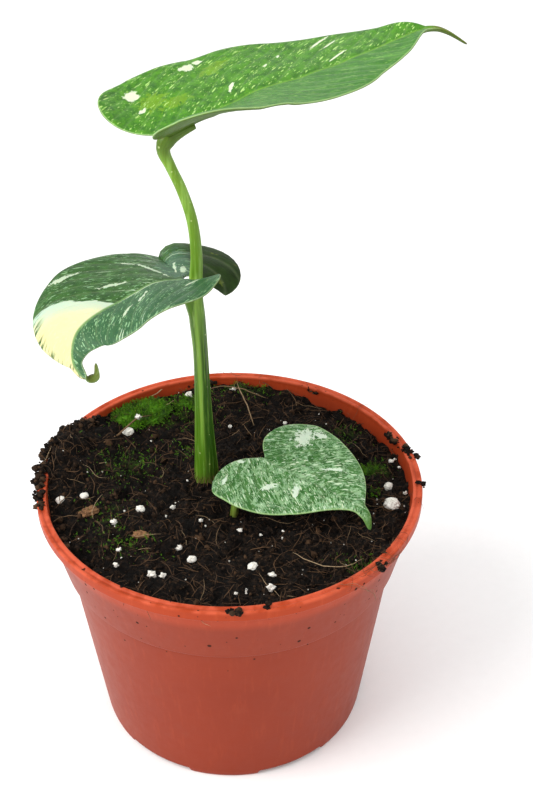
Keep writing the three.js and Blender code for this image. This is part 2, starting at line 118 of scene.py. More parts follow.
def ring_faces(rows, sides):
    """Quads between rows of points that close into rings."""
    faces = []
    for i in range(rows - 1):
        for j in range(sides):
            a = i * sides + j
            b = i * sides + (j + 1) % sides
            faces.append((a, b, b + sides, a + sides))
    return faces


def in_notch(angle):
    """1 inside one of the six notches, 0 outside."""
    off = (math.degrees(angle) - FIRST_NOTCH + NOTCH_SPACING / 2) % NOTCH_SPACING - NOTCH_SPACING / 2
    return smooth(NOTCH_ANGLE / 2 + 0.8, NOTCH_ANGLE / 2 - 0.2, abs(off))


def pot_mesh():
    lip_foot = POT_HEIGHT - LIP_DEPTH
    lip_inner = RIM_RADIUS - LIP_WIDTH
    groove = RIM_RADIUS - LIP_WIDTH / 2
    notch_inner = BASE_RADIUS - NOTCH_DEPTH
    line = rounded(
        [
            (0.3, 0, 0),
            (notch_inner - 0.4, 0, 0),
            (notch_inner + 0.2, 0, 0),
            (BASE_RADIUS - 2, 0, 0),
            (BASE_RADIUS - 0.2, 0, 1.4),
            (BASE_RADIUS + 0.25, 2, 0),
            (BASE_RADIUS + 0.33, 2.6, 0),
            (BASE_RADIUS + 0.51, 4, 0),
            (BASE_RADIUS + 1.55, 12, 0),
            (BODY_TOP_RADIUS, COLLAR_FOOT_HEIGHT - 0.8, 0.5),
            (COLLAR_FOOT_RADIUS, COLLAR_FOOT_HEIGHT, 0.7),
            (COLLAR_TOP_RADIUS, lip_foot - 0.4, 0.8),
            (RIM_RADIUS, lip_foot, 0.6),
            (RIM_RADIUS, POT_HEIGHT, 0.8),
            (groove + 0.6, POT_HEIGHT, 0.2),
            (groove + 0.2, POT_HEIGHT - 0.35, 0.2),
            (groove - 0.2, POT_HEIGHT - 0.35, 0.2),
            (groove - 0.6, POT_HEIGHT, 0.2),
            (lip_inner, POT_HEIGHT, 0.7),
            (lip_inner, POT_HEIGHT - 1.4, 0.5),
            (COLLAR_TOP_RADIUS - WALL, lip_foot, 0.8),
            (COLLAR_FOOT_RADIUS - WALL, COLLAR_FOOT_HEIGHT + 1, 0.8),
            (BODY_TOP_RADIUS - WALL, COLLAR_FOOT_HEIGHT - 1, 0.8),
            (BASE_RADIUS - WALL, FLOOR, 2.5),
            (0.3, FLOOR, 0),
        ]
    )
    points = []
    for k, (radius, height) in enumerate(line):
        for j in range(POT_SIDES):
            angle = 2 * math.pi * j / POT_SIDES
            under = k < len(line) / 2 and radius > notch_inner and height < NOTCH_HEIGHT
            z = max(height, NOTCH_HEIGHT * in_notch(angle)) if under else height
            points.append((radius * math.cos(angle), radius * math.sin(angle), z))
    faces = ring_faces(len(line), POT_SIDES)
    faces.append(tuple(reversed(range(POT_SIDES))))
    top = (len(line) - 1) * POT_SIDES
    faces.append(tuple(range(top, top + POT_SIDES)))
    return points, faces


def drilled(made, cutter):
    """Cuts one mesh out of another and leaves a plain mesh."""
    cut = made.modifiers.new("cut", "BOOLEAN")
    cut.operation = "DIFFERENCE"
    cut.object = cutter
    cut.solver = "EXACT"
    graph = bpy.context.evaluated_depsgraph_get()
    plain = bpy.data.meshes.new_from_object(made.evaluated_get(graph))
    made.modifiers.clear()
    made.data = plain
    made.data.shade_smooth()
    bpy.data.objects.remove(cutter)


def drain_pins():
    """Six round pins where the drain holes go."""
    points, faces, sides = [], [], 32
    for i in range(FOOT_COUNT):
        angle = math.radians(FIRST_NOTCH + NOTCH_SPACING * i)
        x, y = DRAIN_CIRCLE * math.cos(angle), DRAIN_CIRCLE * math.sin(angle)
        first = len(points)
        for height in (-1, FLOOR + 1):
            for j in range(sides):
                a = 2 * math.pi * j / sides
                points.append((x + DRAIN_RADIUS * math.cos(a), y + DRAIN_RADIUS * math.sin(a), height))
        faces += [tuple(first + v for v in face) for face in ring_faces(2, sides)]
        faces.append(tuple(reversed(range(first, first + sides))))
        faces.append(tuple(range(first + sides, first + 2 * sides)))
    return mesh_object("drain_pins", points, faces)


def colour(red, green, blue):
    """Linear colour from display values of 0 to 255."""
    parts = [value / 255 for value in (red, green, blue)]
    return [p / 12.92 if p <= 0.04045 else ((p + 0.055) / 1.055) ** 2.4 for p in parts] + [1]


def add(tree, kind, sockets=None, **settings):
    """New node with its settings made and its sockets linked or filled."""
    made = tree.nodes.new(kind)
    for name, value in settings.items():
        setattr(made, name, value)
    for name, value in (sockets or {}).items():
        if isinstance(value, bpy.types.NodeSocket):
            tree.links.new(value, made.inputs[name])
        else:
            made.inputs[name].default_value = value
    return made


def maths(tree, operation, *values, clamped=False):
    sockets = {i: value for i, value in enumerate(values)}
    return add(tree, "ShaderNodeMath", sockets, operation=operation, use_clamp=clamped).outputs[0]


def step(tree, value, low, high):
    """0 below low, 1 above high, soft between."""
    sockets = {"Value": value, "From Min": low, "From Max": high}
    made = add(tree, "ShaderNodeMapRange", sockets, interpolation_type="SMOOTHSTEP")
    return made.outputs["Result"]


def grain(tree, place, size, detail=3.0, roughness=0.55, distortion=0.0, stretch=None):
    """Noise from 0 to 1 with lumps about size millimetres wide; stretch scales each direction."""
    if stretch is not None:
        place = add(tree, "ShaderNodeVectorMath", {0: place, 1: stretch}, operation="MULTIPLY").outputs[0]
    sockets = {
        "Vector": place,
        "Scale": 1 / (size * MM),
        "Detail": detail,
        "Roughness": roughness,
        "Distortion": distortion,
    }
    return add(tree, "ShaderNodeTexNoise", sockets).outputs["Fac"]


def blend(tree, factor, first, second):
    """Colour between two colours."""
    made = add(tree, "ShaderNodeMix", data_type="RGBA", clamp_factor=True)
    for socket, value in zip((made.inputs[0], made.inputs[6], made.inputs[7]), (factor, first, second)):
        if isinstance(value, bpy.types.NodeSocket):
            tree.links.new(value, socket)
        else:
            socket.default_value = value
    return made.outputs[2]


def material(name):
    """New material with its tree and its surface shader."""
    made = bpy.data.materials.new(name)
    made.use_nodes = True
    return made, made.node_tree, made.node_tree.nodes["Principled BSDF"]


def surface(tree, shader, base, roughness, relief, depth, **fixed):
    """Connects colour, roughness and a relief of the given depth in millimetres."""
    bump = add(tree, "ShaderNodeBump", {"Height": relief, "Distance": depth * MM, "Strength": 1.0})
    for name, value in {"Base Color": base, "Roughness": roughness, "Normal": bump.outputs[0]}.items():
        tree.links.new(value, shader.inputs[name])
    for name, value in fixed.items():
        shader.inputs[name.replace("_", " ")].default_value = value


def object_place(tree):
    return add(tree, "ShaderNodeTexCoord").outputs["Object"]


def shader_group(name, inputs, outputs):
    """Node group with named sockets; returns its tree, its input sockets and its output node."""
    tree = bpy.data.node_groups.new(name, "ShaderNodeTree")
    for label, kind, value in inputs:
        socket = tree.interface.new_socket(label, in_out="INPUT", socket_type=kind)
        if value is not None:
            socket.default_value = value
    for label, kind in outputs:
        tree.interface.new_socket(label, in_out="OUTPUT", socket_type=kind)
    entry = tree.nodes.new("NodeGroupInput")
    return tree, entry.outputs, tree.nodes.new("NodeGroupOutput")


def use(tree, group, **sockets):
    """Node that uses a group, with its sockets filled."""
    made = tree.nodes.new("ShaderNodeGroup")
    made.node_tree = group
    for name, value in sockets.items():
        socket = made.inputs[name.replace("_", " ")]
        if isinstance(value, bpy.types.NodeSocket):
            tree.links.new(value, socket)
        else:
            socket.default_value = value
    return made.outputs


def specks_group():
    """Mask of separate specks: soil dust and splashes that stick to a smooth surface."""
    tree, given, out = shader_group(
        "Specks",
        [
            ("Place", "NodeSocketVector", None),
            ("Size", "NodeSocketFloat", 2.0),
            ("Share", "NodeSocketFloat", 0.2),
        ],
        [("Mask", "NodeSocketFloat")],
    )
    scale = maths(tree, "DIVIDE", 1000.0, given["Size"])
    cells = add(tree, "ShaderNodeTexVoronoi", {"Vector": given["Place"], "Scale": scale, "Randomness": 1.0})
    apart = add(tree, "ShaderNodeSeparateColor", {"Color": cells.outputs["Color"]})
    chosen = maths(tree, "LESS_THAN", apart.outputs[0], given["Share"])
    radius = maths(tree, "MULTIPLY_ADD", apart.outputs[1], 0.22, 0.06)
    inside = maths(tree, "SUBTRACT", radius, cells.outputs["Distance"])
    mask = maths(tree, "MULTIPLY", step(tree, inside, 0.0, 0.05), chosen)
    tree.links.new(mask, out.inputs["Mask"])
    return tree


SPECKS = specks_group()


def pot_material():
    made, tree, shader = material("pot_plastic")
    place = object_place(tree)
    apart = add(tree, "ShaderNodeSeparateXYZ", {"Vector": place})
    height = apart.outputs["Z"]
    cloud = grain(tree, place, 26, detail=2)
    base = blend(tree, cloud, colour(170, 63, 29), colour(154, 54, 25))
    streaks = grain(tree, place, 1.6, detail=3, stretch=(1, 1, 0.06))
    base = blend(tree, step(tree, streaks, 0.5, 0.8), base, colour(174, 68, 34))
    inward = add(tree, "ShaderNodeVectorMath", {0: place, 1: (1, 1, 0)}, operation="MULTIPLY").outputs[0]
    radius = add(tree, "ShaderNodeVectorMath", {0: inward}, operation="LENGTH").outputs["Value"]
    # Painted highlight: the top edge of the lip is painted lighter in patches.
    painted_rim_highlight = maths(
        tree,
        "MULTIPLY",
        step(tree, height, (POT_HEIGHT - 1.2) * MM, POT_HEIGHT * MM),
        step(tree, grain(tree, place, 5, detail=4), 0.35, 0.6),
    )
    base = blend(tree, maths(tree, "MULTIPLY", painted_rim_highlight, 0.6), base, colour(214, 98, 68))
    # Painted shade: inside 56.5 mm of the axis and below about 84 mm, that is the body under the collar and
    # the inner wall, the plastic is painted darker, so the collar and lip look lit.
    painted_body_shade = maths(
        tree,
        "MULTIPLY",
        step(tree, radius, 57.5 * MM, 56.5 * MM),
        step(tree, maths(tree, "ADD", height, maths(tree, "MULTIPLY", cloud, 0.006)), 0.092, 0.084),
    )
    base = blend(tree, maths(tree, "MULTIPLY", painted_body_shade, 0.45), base, colour(92, 30, 16))
    near_rim = step(tree, height, 45 * MM, 84 * MM)
    few = use(tree, SPECKS, Place=place, Size=2.6, Share=maths(tree, "MULTIPLY", near_rim, 0.2))["Mask"]
    fine = use(tree, SPECKS, Place=place, Size=1.1, Share=maths(tree, "MULTIPLY", near_rim, 0.07))["Mask"]
    dirt = maths(tree, "MAXIMUM", few, fine)
    dust = step(tree, grain(tree, place, 9, detail=6, roughness=0.7), 0.55, 0.8)
    base = blend(tree, maths(tree, "MULTIPLY", dust, 0.25), base, colour(128, 70, 50))
    base = blend(tree, maths(tree, "MULTIPLY", dirt, 0.9), base, colour(36, 20, 13))
    rough = maths(tree, "MULTIPLY_ADD", grain(tree, place, 3, detail=5), 0.2, 0.33)
    rough = maths(tree, "ADD", rough, maths(tree, "MULTIPLY", dirt, 0.35))
    peel = maths(tree, "MULTIPLY", grain(tree, place, 0.7, detail=2), 0.35)
    relief = maths(tree, "ADD", peel, maths(tree, "MULTIPLY", streaks, 0.5))
    relief = maths(tree, "ADD", relief, dirt)
    surface(tree, shader, base, rough, relief, 0.05, Specular_IOR_Level=0.12)
    return made


pot = mesh_object("pot_shell", *pot_mesh())
drilled(pot, drain_pins())
pot.data.materials.append(pot_material())
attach(pot, "root")
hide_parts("pot")


# Soil
# Peat potting soil pressed in by hand: nearly level, a few millimetres under the rim, and heaped
# over the rim at the left. It is one body of soil, so one fine mesh carries its clods, and the
# loose crumbs on it are strewn over that mesh.

GAP = 0.3
SOIL_LEVEL = 83
HEAP_ANGLE = 163
HEAP_SPREAD = 20
HEAP_HEIGHT = 9
# Low mounds, and places where moss has started: [x, y, half width, half depth, height or share].
MOUNDS = [
    [2, 52, 14, 10, 3.0],
    [-34, 40, 12, 12, 1.8],
    [-7, 4, 12, 12, 1.2],
]
MOSSY = [
    [-27, 44, 15, 8, 1.0],
    [-33, 12, 9, 8, 0.45],
    [-38, -12, 6, 9, 0.3],
    [-31, -25, 8, 6, 0.4],
    [-15, 20, 4, 4, 0.4],
    [6, 54, 8, 4, 0.7],
    [39, -35, 6, 4, 0.6],
    [47, 11, 4, 4, 0.7],
    [45, -1, 3, 3, 0.6],
    [38, 31, 5, 5, 0.35],
]
SOIL_RINGS = 150
SOIL_SPOKES = 400


def hills(rows, x, y):
    """Sum of soft hills given as [x, y, half width, half depth, height]."""
    return sum(
        high * math.exp(-(((x - hill_x) / wide) ** 2) - ((y - hill_y) / deep) ** 2)
        for hill_x, hill_y, wide, deep, high in rows
    )


def soil_height(x, y):
    """Height of the ground without its clods."""
    radius = math.hypot(x, y)
    off = (math.degrees(math.atan2(y, x)) - HEAP_ANGLE + 180) % 360 - 180
    inward = clamp((RIM_RADIUS - 2 - radius) / 26)
    heap = HEAP_HEIGHT * math.exp(-((off / HEAP_SPREAD) ** 2)) * math.exp(-4 * inward**2)
    waves = (
        0.5 * math.sin(0.31 * x + 1.3) * math.cos(0.27 * y - 0.4)
        + 0.36 * math.sin(0.73 * x - 0.5 * y + 2.1)
        + 0.27 * math.cos(0.9 * y + 0.41 * x)
    )
    spill = -1.6 * max(0, radius - RIM_RADIUS + 2)
    return SOIL_LEVEL + heap + waves + hills(MOUNDS, x, y) + spill


def clods(x, y):
    """Height of the clods and crumbs at a place, around zero."""
    big = noise.voronoi(Vector((x / 3.6, y / 3.6, 0.7)))[0]
    small = noise.voronoi(Vector((x / 1.5, y / 1.5, 5.2)))[0]
    rough = noise.fractal(Vector((x / 5, y / 5, 2.0)), 0.8, 2.1, 5)
    return 1.3 * (0.45 - big[0]) + 0.8 * (0.4 - small[0]) + 1.1 * rough


def soil_mesh():
    """Top as rings round the pot's axis, then the side down the pot's inner wall and the floor."""
    lip_inner = RIM_RADIUS - LIP_WIDTH - GAP
    on_lip = RIM_RADIUS - 1
    points = []
    low = []
    for i in range(1, SOIL_RINGS + 1):
        for j in range(SOIL_SPOKES):
            angle = 2 * math.pi * (j + 0.5 * (i % 2)) / SOIL_SPOKES
            ragged = 1.2 * noise.fractal(Vector((angle * 9, 0.3, 4.0)), 0.8, 2.1, 4)
            edge = soil_height(on_lip * math.cos(angle), on_lip * math.sin(angle))
            over = smooth(POT_HEIGHT - 1.5, POT_HEIGHT + 1, edge)
            reach = mix(lip_inner, RIM_RADIUS + 0.6 + ragged, over)
            radius = reach * (i / SOIL_RINGS) ** 0.8
            x, y = radius * math.cos(angle), radius * math.sin(angle)
            relief = clods(x, y)
            points.append((x, y, soil_height(x, y) + relief))
            low.append(relief)
    rim = points[-SOIL_SPOKES:]
    inside = [
        (lip_inner, POT_HEIGHT + GAP),
        (COLLAR_TOP_RADIUS - WALL - GAP, POT_HEIGHT - LIP_DEPTH),
        (COLLAR_FOOT_RADIUS - WALL - GAP, COLLAR_FOOT_HEIGHT + 1),
        (BODY_TOP_RADIUS - WALL - GAP, COLLAR_FOOT_HEIGHT - 1),
        (BASE_RADIUS - WALL - GAP, FLOOR + 2),
        (BASE_RADIUS - WALL - 2, FLOOR + GAP),
        (0.3, FLOOR + GAP),
    ]
    for radius, height in inside:
        for x, y, z in rim:
            scale = radius / math.hypot(x, y)
            points.append((x * scale, y * scale, min(height, z - 0.05)))
            low.append(-1)
    faces = ring_faces(SOIL_RINGS + len(inside), SOIL_SPOKES)
    faces = [tuple(reversed(face)) for face in faces]
    faces.append(tuple(range(SOIL_SPOKES)))
    last = len(points) - SOIL_SPOKES
    faces.append(tuple(reversed(range(last, last + SOIL_SPOKES))))
    return points, faces, low


def peat_group():
    """Colour and relief of peat soil: dark damp peat with brown fibre, tan bits, a green film and painted
    shade in the hollows between clods.
    """
    tree, given, out = shader_group(
        "Peat",
        [
            ("Place", "NodeSocketVector", None),
            ("Tint", "NodeSocketFloat", 0.5),
            ("Hollow", "NodeSocketFloat", 0.0),
            ("Mossy", "NodeSocketFloat", 0.0),
        ],
        [("Colour", "NodeSocketColor"), ("Relief", "NodeSocketFloat")],
    )
    place = given["Place"]
    fine = grain(tree, place, 1.1, detail=6, roughness=0.7)
    dusty = grain(tree, place, 0.35, detail=2)
    base = blend(tree, step(tree, fine, 0.42, 0.7), colour(8, 6, 5), colour(48, 34, 24))
    base = blend(tree, step(tree, given["Tint"], 0.6, 1.0), base, colour(74, 54, 38))
    tan = maths(tree, "MULTIPLY", step(tree, dusty, 0.62, 0.7), step(tree, fine, 0.48, 0.62))
    base = blend(tree, maths(tree, "MULTIPLY", tan, 0.6), base, colour(128, 106, 80))
    green = maths(tree, "ADD", grain(tree, place, 3.0, detail=5), given["Mossy"])
    green = maths(tree, "MULTIPLY", step(tree, green, 0.72, 1.0), step(tree, fine, 0.3, 0.6))
    base = blend(tree, maths(tree, "MULTIPLY", green, 0.75), base, colour(48, 70, 14))
    # Painted shade: the hollows between clods are painted near black.
    base = blend(tree, given["Hollow"], base, colour(7, 5, 4))
    tree.links.new(base, out.inputs["Colour"])
    tree.links.new(maths(tree, "ADD", fine, maths(tree, "MULTIPLY", dusty, 0.5)), out.inputs["Relief"])
    return tree


PEAT = peat_group()


def attribute(tree, name):
    return add(tree, "ShaderNodeAttribute", attribute_name=name).outputs["Fac"]


def soil_material():
    made, tree, shader = material("soil")
    place = object_place(tree)
    # Painted shade in the low places between clods, taken from the clod height.
    painted_hollow_shade = maths(tree, "MULTIPLY", step(tree, attribute(tree, "clod"), 0.2, -0.9), 0.9)
    peat = use(tree, PEAT, Place=place, Tint=0.35, Hollow=painted_hollow_shade, Mossy=attribute(tree, "mossy"))
    wet = grain(tree, place, 4, detail=3)
    rough = maths(tree, "MULTIPLY_ADD", step(tree, wet, 0.4, 0.7), 0.3, 0.65)
    surface(tree, shader, peat["Colour"], rough, peat["Relief"], 0.9, Specular_IOR_Level=0.12)
    return made


def float_attribute(made, name, values):
    made.data.attributes.new(name, "FLOAT", "POINT").data.foreach_set("value", values)


soil_points, soil_faces, soil_relief = soil_mesh()
soil = mesh_object("soil_body", soil_points, soil_faces)
float_attribute(soil, "clod", soil_relief)
on_top = [1.0 if i < SOIL_RINGS * SOIL_SPOKES else 0.0 for i in range(len(soil_points))]
float_attribute(soil, "on_top", on_top)
mossy = [min(1.0, hills(MOSSY, x, y)) * top for (x, y, z), top in zip(soil_points, on_top)]
float_attribute(soil, "mossy", mossy)
soil.data.materials.append(soil_material())
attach(soil, "root")
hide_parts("soil")


# Loose crumbs
# Peat crumbs from dust to pea size lie on the soil and catch in one another; where the soil
# spills over the rim they hang on its edge. They are strewn over the soil's mesh.


def lump_points(seed, squeeze=(1, 1, 1), rings=4, sides=7, rough=0.35):
    """Rough closed lump of half size 1 from a few rings."""
    shift = Vector((seed * 3.7, seed * 1.9, 0))
    points = [(0, 0, -1)]
    for i in range(1, rings + 1):
        tilt = math.pi * i / (rings + 1)
        for j in range(sides):
            turn = 2 * math.pi * (j + 0.5 * (i % 2)) / sides
            points.append((math.sin(tilt) * math.cos(turn), math.sin(tilt) * math.sin(turn), -math.cos(tilt)))
    points.append((0, 0, 1))
    shaped = []
    for point in points:
        size = 1 + rough * noise.noise(Vector(point) * 1.7 + shift)
        shaped.append([size * value * factor for value, factor in zip(point, squeeze)])
    return shaped


def lump_faces(rings=4, sides=7):
    faces = []
    for j in range(sides):
        faces.append((0, 1 + (j + 1) % sides, 1 + j))
    for i in range(rings - 1):
        for j in range(sides):
            a = 1 + i * sides + j
            b = 1 + i * sides + (j + 1) % sides
            faces.append((a, b, b + sides, a + sides))
    top = 1 + rings * sides
    for j in range(sides):
        faces.append((top, top - sides + j, top - sides + (j + 1) % sides))
    return faces


def kit(name, meshes):
    """Collection of small models, each of half size 1 mm, for strewing."""
    made = bpy.data.collections.new(name)
    for i, (points, faces) in enumerate(meshes):
        model = mesh_object(f"{name}_{i}", points, faces)
        bpy.context.collection.objects.unlink(model)
        made.objects.link(model)
    return made


def strewing_tree(name):
    """Geometry nodes that strew a collection's models over a mesh and give each its own tint."""
    tree = bpy.data.node_groups.new(name, "GeometryNodeTree")
    sockets = [
        ("Ground", "NodeSocketGeometry", None),
        ("Models", "NodeSocketCollection", None),
        ("Per Square Metre", "NodeSocketFloat", 1000.0),
        ("Where", "NodeSocketString", "on_top"),
        ("Smallest", "NodeSocketFloat", 0.5),
        ("Largest", "NodeSocketFloat", 1.5),
        ("Few Large", "NodeSocketFloat", 3.0),
        ("Tilt", "NodeSocketFloat", 0.6),
        ("Sunk", "NodeSocketFloat", 0.0),
        ("Look", "NodeSocketMaterial", None),
        ("Seed", "NodeSocketInt", 1),
    ]
    for label, kind, value in sockets:
        socket = tree.interface.new_socket(label, in_out="INPUT", socket_type=kind)
        if value is not None:
            socket.default_value = value
    tree.interface.new_socket("Strewn", in_out="OUTPUT", socket_type="NodeSocketGeometry")
    given = tree.nodes.new("NodeGroupInput").outputs
    out = tree.nodes.new("NodeGroupOutput")
    share = add(tree, "GeometryNodeInputNamedAttribute", {"Name": given["Where"]}, data_type="FLOAT")
    spread = add(
        tree,
        "GeometryNodeDistributePointsOnFaces",
        {"Mesh": given["Ground"], "Seed": given["Seed"]},
    )
    density = maths(tree, "MULTIPLY", share.outputs["Attribute"], given["Per Square Metre"])
    tree.links.new(density, spread.inputs["Density"])
    models = add(
        tree,
        "GeometryNodeCollectionInfo",
        {"Collection": given["Models"], "Separate Children": True, "Reset Children": True},
    )
    chance = add(tree, "FunctionNodeRandomValue", {"Seed": given["Seed"]}, data_type="FLOAT").outputs[1]
    size = add(
        tree,
        "ShaderNodeMapRange",
        {
            "Value": maths(tree, "POWER", chance, given["Few Large"]),
            "To Min": given["Smallest"],
            "To Max": given["Largest"],
        },
    ).outputs["Result"]
    lean = add(tree, "FunctionNodeRandomValue", {"Seed": 7}, data_type="FLOAT_VECTOR")
    swing = add(tree, "ShaderNodeCombineXYZ", {"X": given["Tilt"], "Y": given["Tilt"], "Z": math.pi})
    lean.inputs[0].default_value = (-1, -1, -1)
    turn = add(
        tree, "ShaderNodeVectorMath", {0: lean.outputs[0], 1: swing.outputs[0]}, operation="MULTIPLY"
    ).outputs[0]
    turned = add(
        tree,
        "FunctionNodeRotateRotation",
        {"Rotation": spread.outputs["Rotation"], "Rotate By": turn},
        rotation_space="LOCAL",
    )
    placed = add(
        tree,
        "GeometryNodeInstanceOnPoints",
        {
            "Points": spread.outputs["Points"],
            "Instance": models.outputs[0],
            "Pick Instance": True,
            "Rotation": turned.outputs[0],
            "Scale": size,
        },
    )
    down = add(
        tree, "ShaderNodeVectorMath", {0: (0, 0, -MM), "Scale": given["Sunk"]}, operation="SCALE"
    ).outputs[0]
    lowered = add(
        tree,
        "GeometryNodeTranslateInstances",
        {"Instances": placed.outputs[0], "Translation": down, "Local Space": False},
    )
    tint = add(tree, "FunctionNodeRandomValue", {"Seed": 23}, data_type="FLOAT").outputs[1]
    stored = add(
        tree,
        "GeometryNodeStoreNamedAttribute",
        {"Geometry": lowered.outputs[0], "Name": "tint", "Value": tint},
        data_type="FLOAT",
        domain="INSTANCE",
    )
    real = add(tree, "GeometryNodeRealizeInstances", {"Geometry": stored.outputs[0]})
    dressed = add(tree, "GeometryNodeSetMaterial", {"Geometry": real.outputs[0], "Material": given["Look"]})
    tree.links.new(dressed.outputs[0], out.inputs["Strewn"])
    return tree


STREWING = strewing_tree("Strewing")


def strewn(name, ground, look, slot, **sockets):
    """Plain mesh of models strewn over a mesh, riding on the root."""
    made = bpy.data.objects.new(name, ground.data.copy())
    bpy.context.collection.objects.link(made)
    nodes = made.modifiers.new("strew", "NODES")
    nodes.node_group = STREWING
    values = {"Look": look, **{key.replace("_", " "): value for key, value in sockets.items()}}
    for item in STREWING.interface.items_tree:
        if item.in_out == "INPUT" and item.name in values:
            nodes[item.identifier] = values[item.name]
    made.update_tag()
    graph = bpy.context.evaluated_depsgraph_get()
    plain = bpy.data.meshes.new_from_object(made.evaluated_get(graph))
    made.modifiers.clear()
    made.data = plain
    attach(made, "root")
    return made


def crumb_material():
    made, tree, shader = material("soil_crumb")
    place = object_place(tree)
    tint = attribute(tree, "tint")
    peat = use(tree, PEAT, Place=place, Tint=tint, Hollow=0.0, Mossy=0.0)
    rough = maths(tree, "MULTIPLY_ADD", grain(tree, place, 1.5), 0.25, 0.7)
    surface(tree, shader, peat["Colour"], rough, peat["Relief"], 0.3, Specular_IOR_Level=0.12)
    return made


crumb_look = crumb_material()
crumbs = kit("crumb", [(lump_points(i, (1, 0.8, 0.65), rough=0.9), lump_faces()) for i in range(6)])
strewn(
    "crumbs",
    soil,
    crumb_look,
    "soil",
    Models=crumbs,
    Per_Square_Metre=90000.0,
    Smallest=0.4,
    Largest=1.5,
    Few_Large=3.5,
    Tilt=1.5,
    Seed=3,
)
grit = kit("grit", [(lump_points(i + 50, (1, 0.7, 0.6), 3, 5, 0.9), lump_faces(3, 5)) for i in range(5)])
strewn(
    "fine_crumbs",
    soil,
    crumb_look,
    "soil",
    Models=grit,
    Per_Square_Metre=340000.0,
    Smallest=0.16,
    Largest=0.6,
    Few_Large=2.0,
    Tilt=1.5,
    Sunk=-0.15,
    Seed=4,
)

CLUMPS = [
    [147, 56.5, 87.8, 3.4, 30],
    [152, 58.4, 88.8, 3.4, 34],
    [158, 59.2, 90.0, 3.6, 40],
    [164, 59.6, 90.8, 3.6, 42],
    [170, 60.0, 90.2, 3.6, 42],
    [176, 60.0, 89.2, 3.4, 38],
    [182, 59.8, 88.6, 3.2, 34],
    [187, 60.0, 88.2, 3.0, 30],
    [192, 59.6, 87.8, 2.2, 16],
    [22, 57.2, 87.6, 3.4, 34],
    [14, 59.4, 88.2, 2.8, 22],
    [-3, 60.0, 88.4, 1.8, 12],
    [-37, 57.2, 87.2, 4.0, 44],
    [-42, 60.0, 87.4, 3.0, 30],
    [-88, 60.0, 88.0, 2.2, 16],
    [-78, 58.6, 87.6, 1.6, 8],
    [-121, 58.0, 87.2, 2.0, 10],
    [-150, 57.2, 86.6, 2.6, 14],
    [62, 57.6, 86.8, 3.0, 18],
    [100, 57.0, 86.4, 3.0, 16],
]


def clump_mesh():
    """Crumbs that cling together on the rim; rows are [angle, radius, height, reach, crumbs]."""
    chance = np.random.default_rng(12)
    points, faces, tints = [], [], []
    for angle, radius, height, reach, count in CLUMPS:
        turn = math.radians(angle)
        out = Vector((math.cos(turn), math.sin(turn), 0))
        tangent = Vector((-out.y, out.x, 0))
        for i in range(count):
            size = 0.35 + 0.95 * chance.random() ** 2.5
            aside, outward = chance.normal(0, 0.5 * reach), chance.normal(-0.5, 0.7)
            up = chance.uniform(-0.9, 0.7) * math.exp(-((aside / reach) ** 2)) - 0.5 * max(0, outward)
            centre = out * (radius + outward) + tangent * aside + Vector((0, 0, height + up))
            first = len(points)
            shape = lump_points(int(chance.integers(1000)), (1, 0.85, 0.75), rough=0.9)
            points += [centre + Vector(point) * size for point in shape]
            faces += [tuple(first + v for v in face) for face in lump_faces()]
            tints += [float(chance.random())] * len(shape)
    return points, faces, tints


clump_points, clump_faces, clump_tints = clump_mesh()
clumps = mesh_object("rim_clumps", clump_points, clump_faces)
float_attribute(clumps, "tint", clump_tints)
clumps.data.materials.append(crumb_look)
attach(clumps, "root")


# Fibres and rootlets
# Peat fibre, dead moss stems and hair roots lie crisscross on the soil. Most are brown, some are
# bleached to straw. A few long hair roots have dried onto the rim at the right.


def strand(curve, radius, sides=4):
    """Closed thin tube through the points of a curve, thinner at its ends."""
    points = []
    for i, here in enumerate(curve):
        way = (curve[min(i + 1, len(curve) - 1)] - curve[max(i - 1, 0)]).normalized()
        across = way.cross(Vector((0.1, 0.2, 1))).normalized()
        over = across.cross(way)
        wide = radius * (1 - 0.75 * abs(2 * i / (len(curve) - 1) - 1) ** 3)
        for j in range(sides):
            a = 2 * math.pi * j / sides
            points.append(here + across * (wide * math.cos(a)) + over * (wide * math.sin(a)))
    faces = [tuple(reversed(face)) for face in ring_faces(len(curve), sides)]
    faces.append(tuple(range(sides)))
    last = len(points) - sides
    faces.append(tuple(reversed(range(last, last + sides))))
    return points, faces


def wandering(seed, length, bend, steps=9):
    """Points of a loosely bent fibre that lies about flat."""
    way = 0.0
    here = Vector((-length / 2, 0, 0.25))
    curve = []
    for i in range(steps):
        curve.append(here.copy())
        way += bend * noise.noise(Vector((i * 0.45, seed * 2.3, 0.5)))
        rise = 0.35 * noise.noise(Vector((i * 0.6, seed * 1.7, 9.5)))
        here += Vector((math.cos(way), math.sin(way), rise)) * (length / steps)
    return curve


def fibre_material(name, dark, pale):
    made, tree, shader = material(name)
    place = object_place(tree)
    along_fibre = grain(tree, place, 0.8, detail=4, roughness=0.7)
    base = blend(tree, attribute(tree, "tint"), dark, pale)
    base = blend(tree, step(tree, along_fibre, 0.4, 0.75), base, blend(tree, 0.6, base, colour(40, 26, 16)))
    rough = maths(tree, "MULTIPLY_ADD", along_fibre, 0.3, 0.55)
    surface(tree, shader, base, rough, along_fibre, 0.08, Specular_IOR_Level=0.3)
    return made


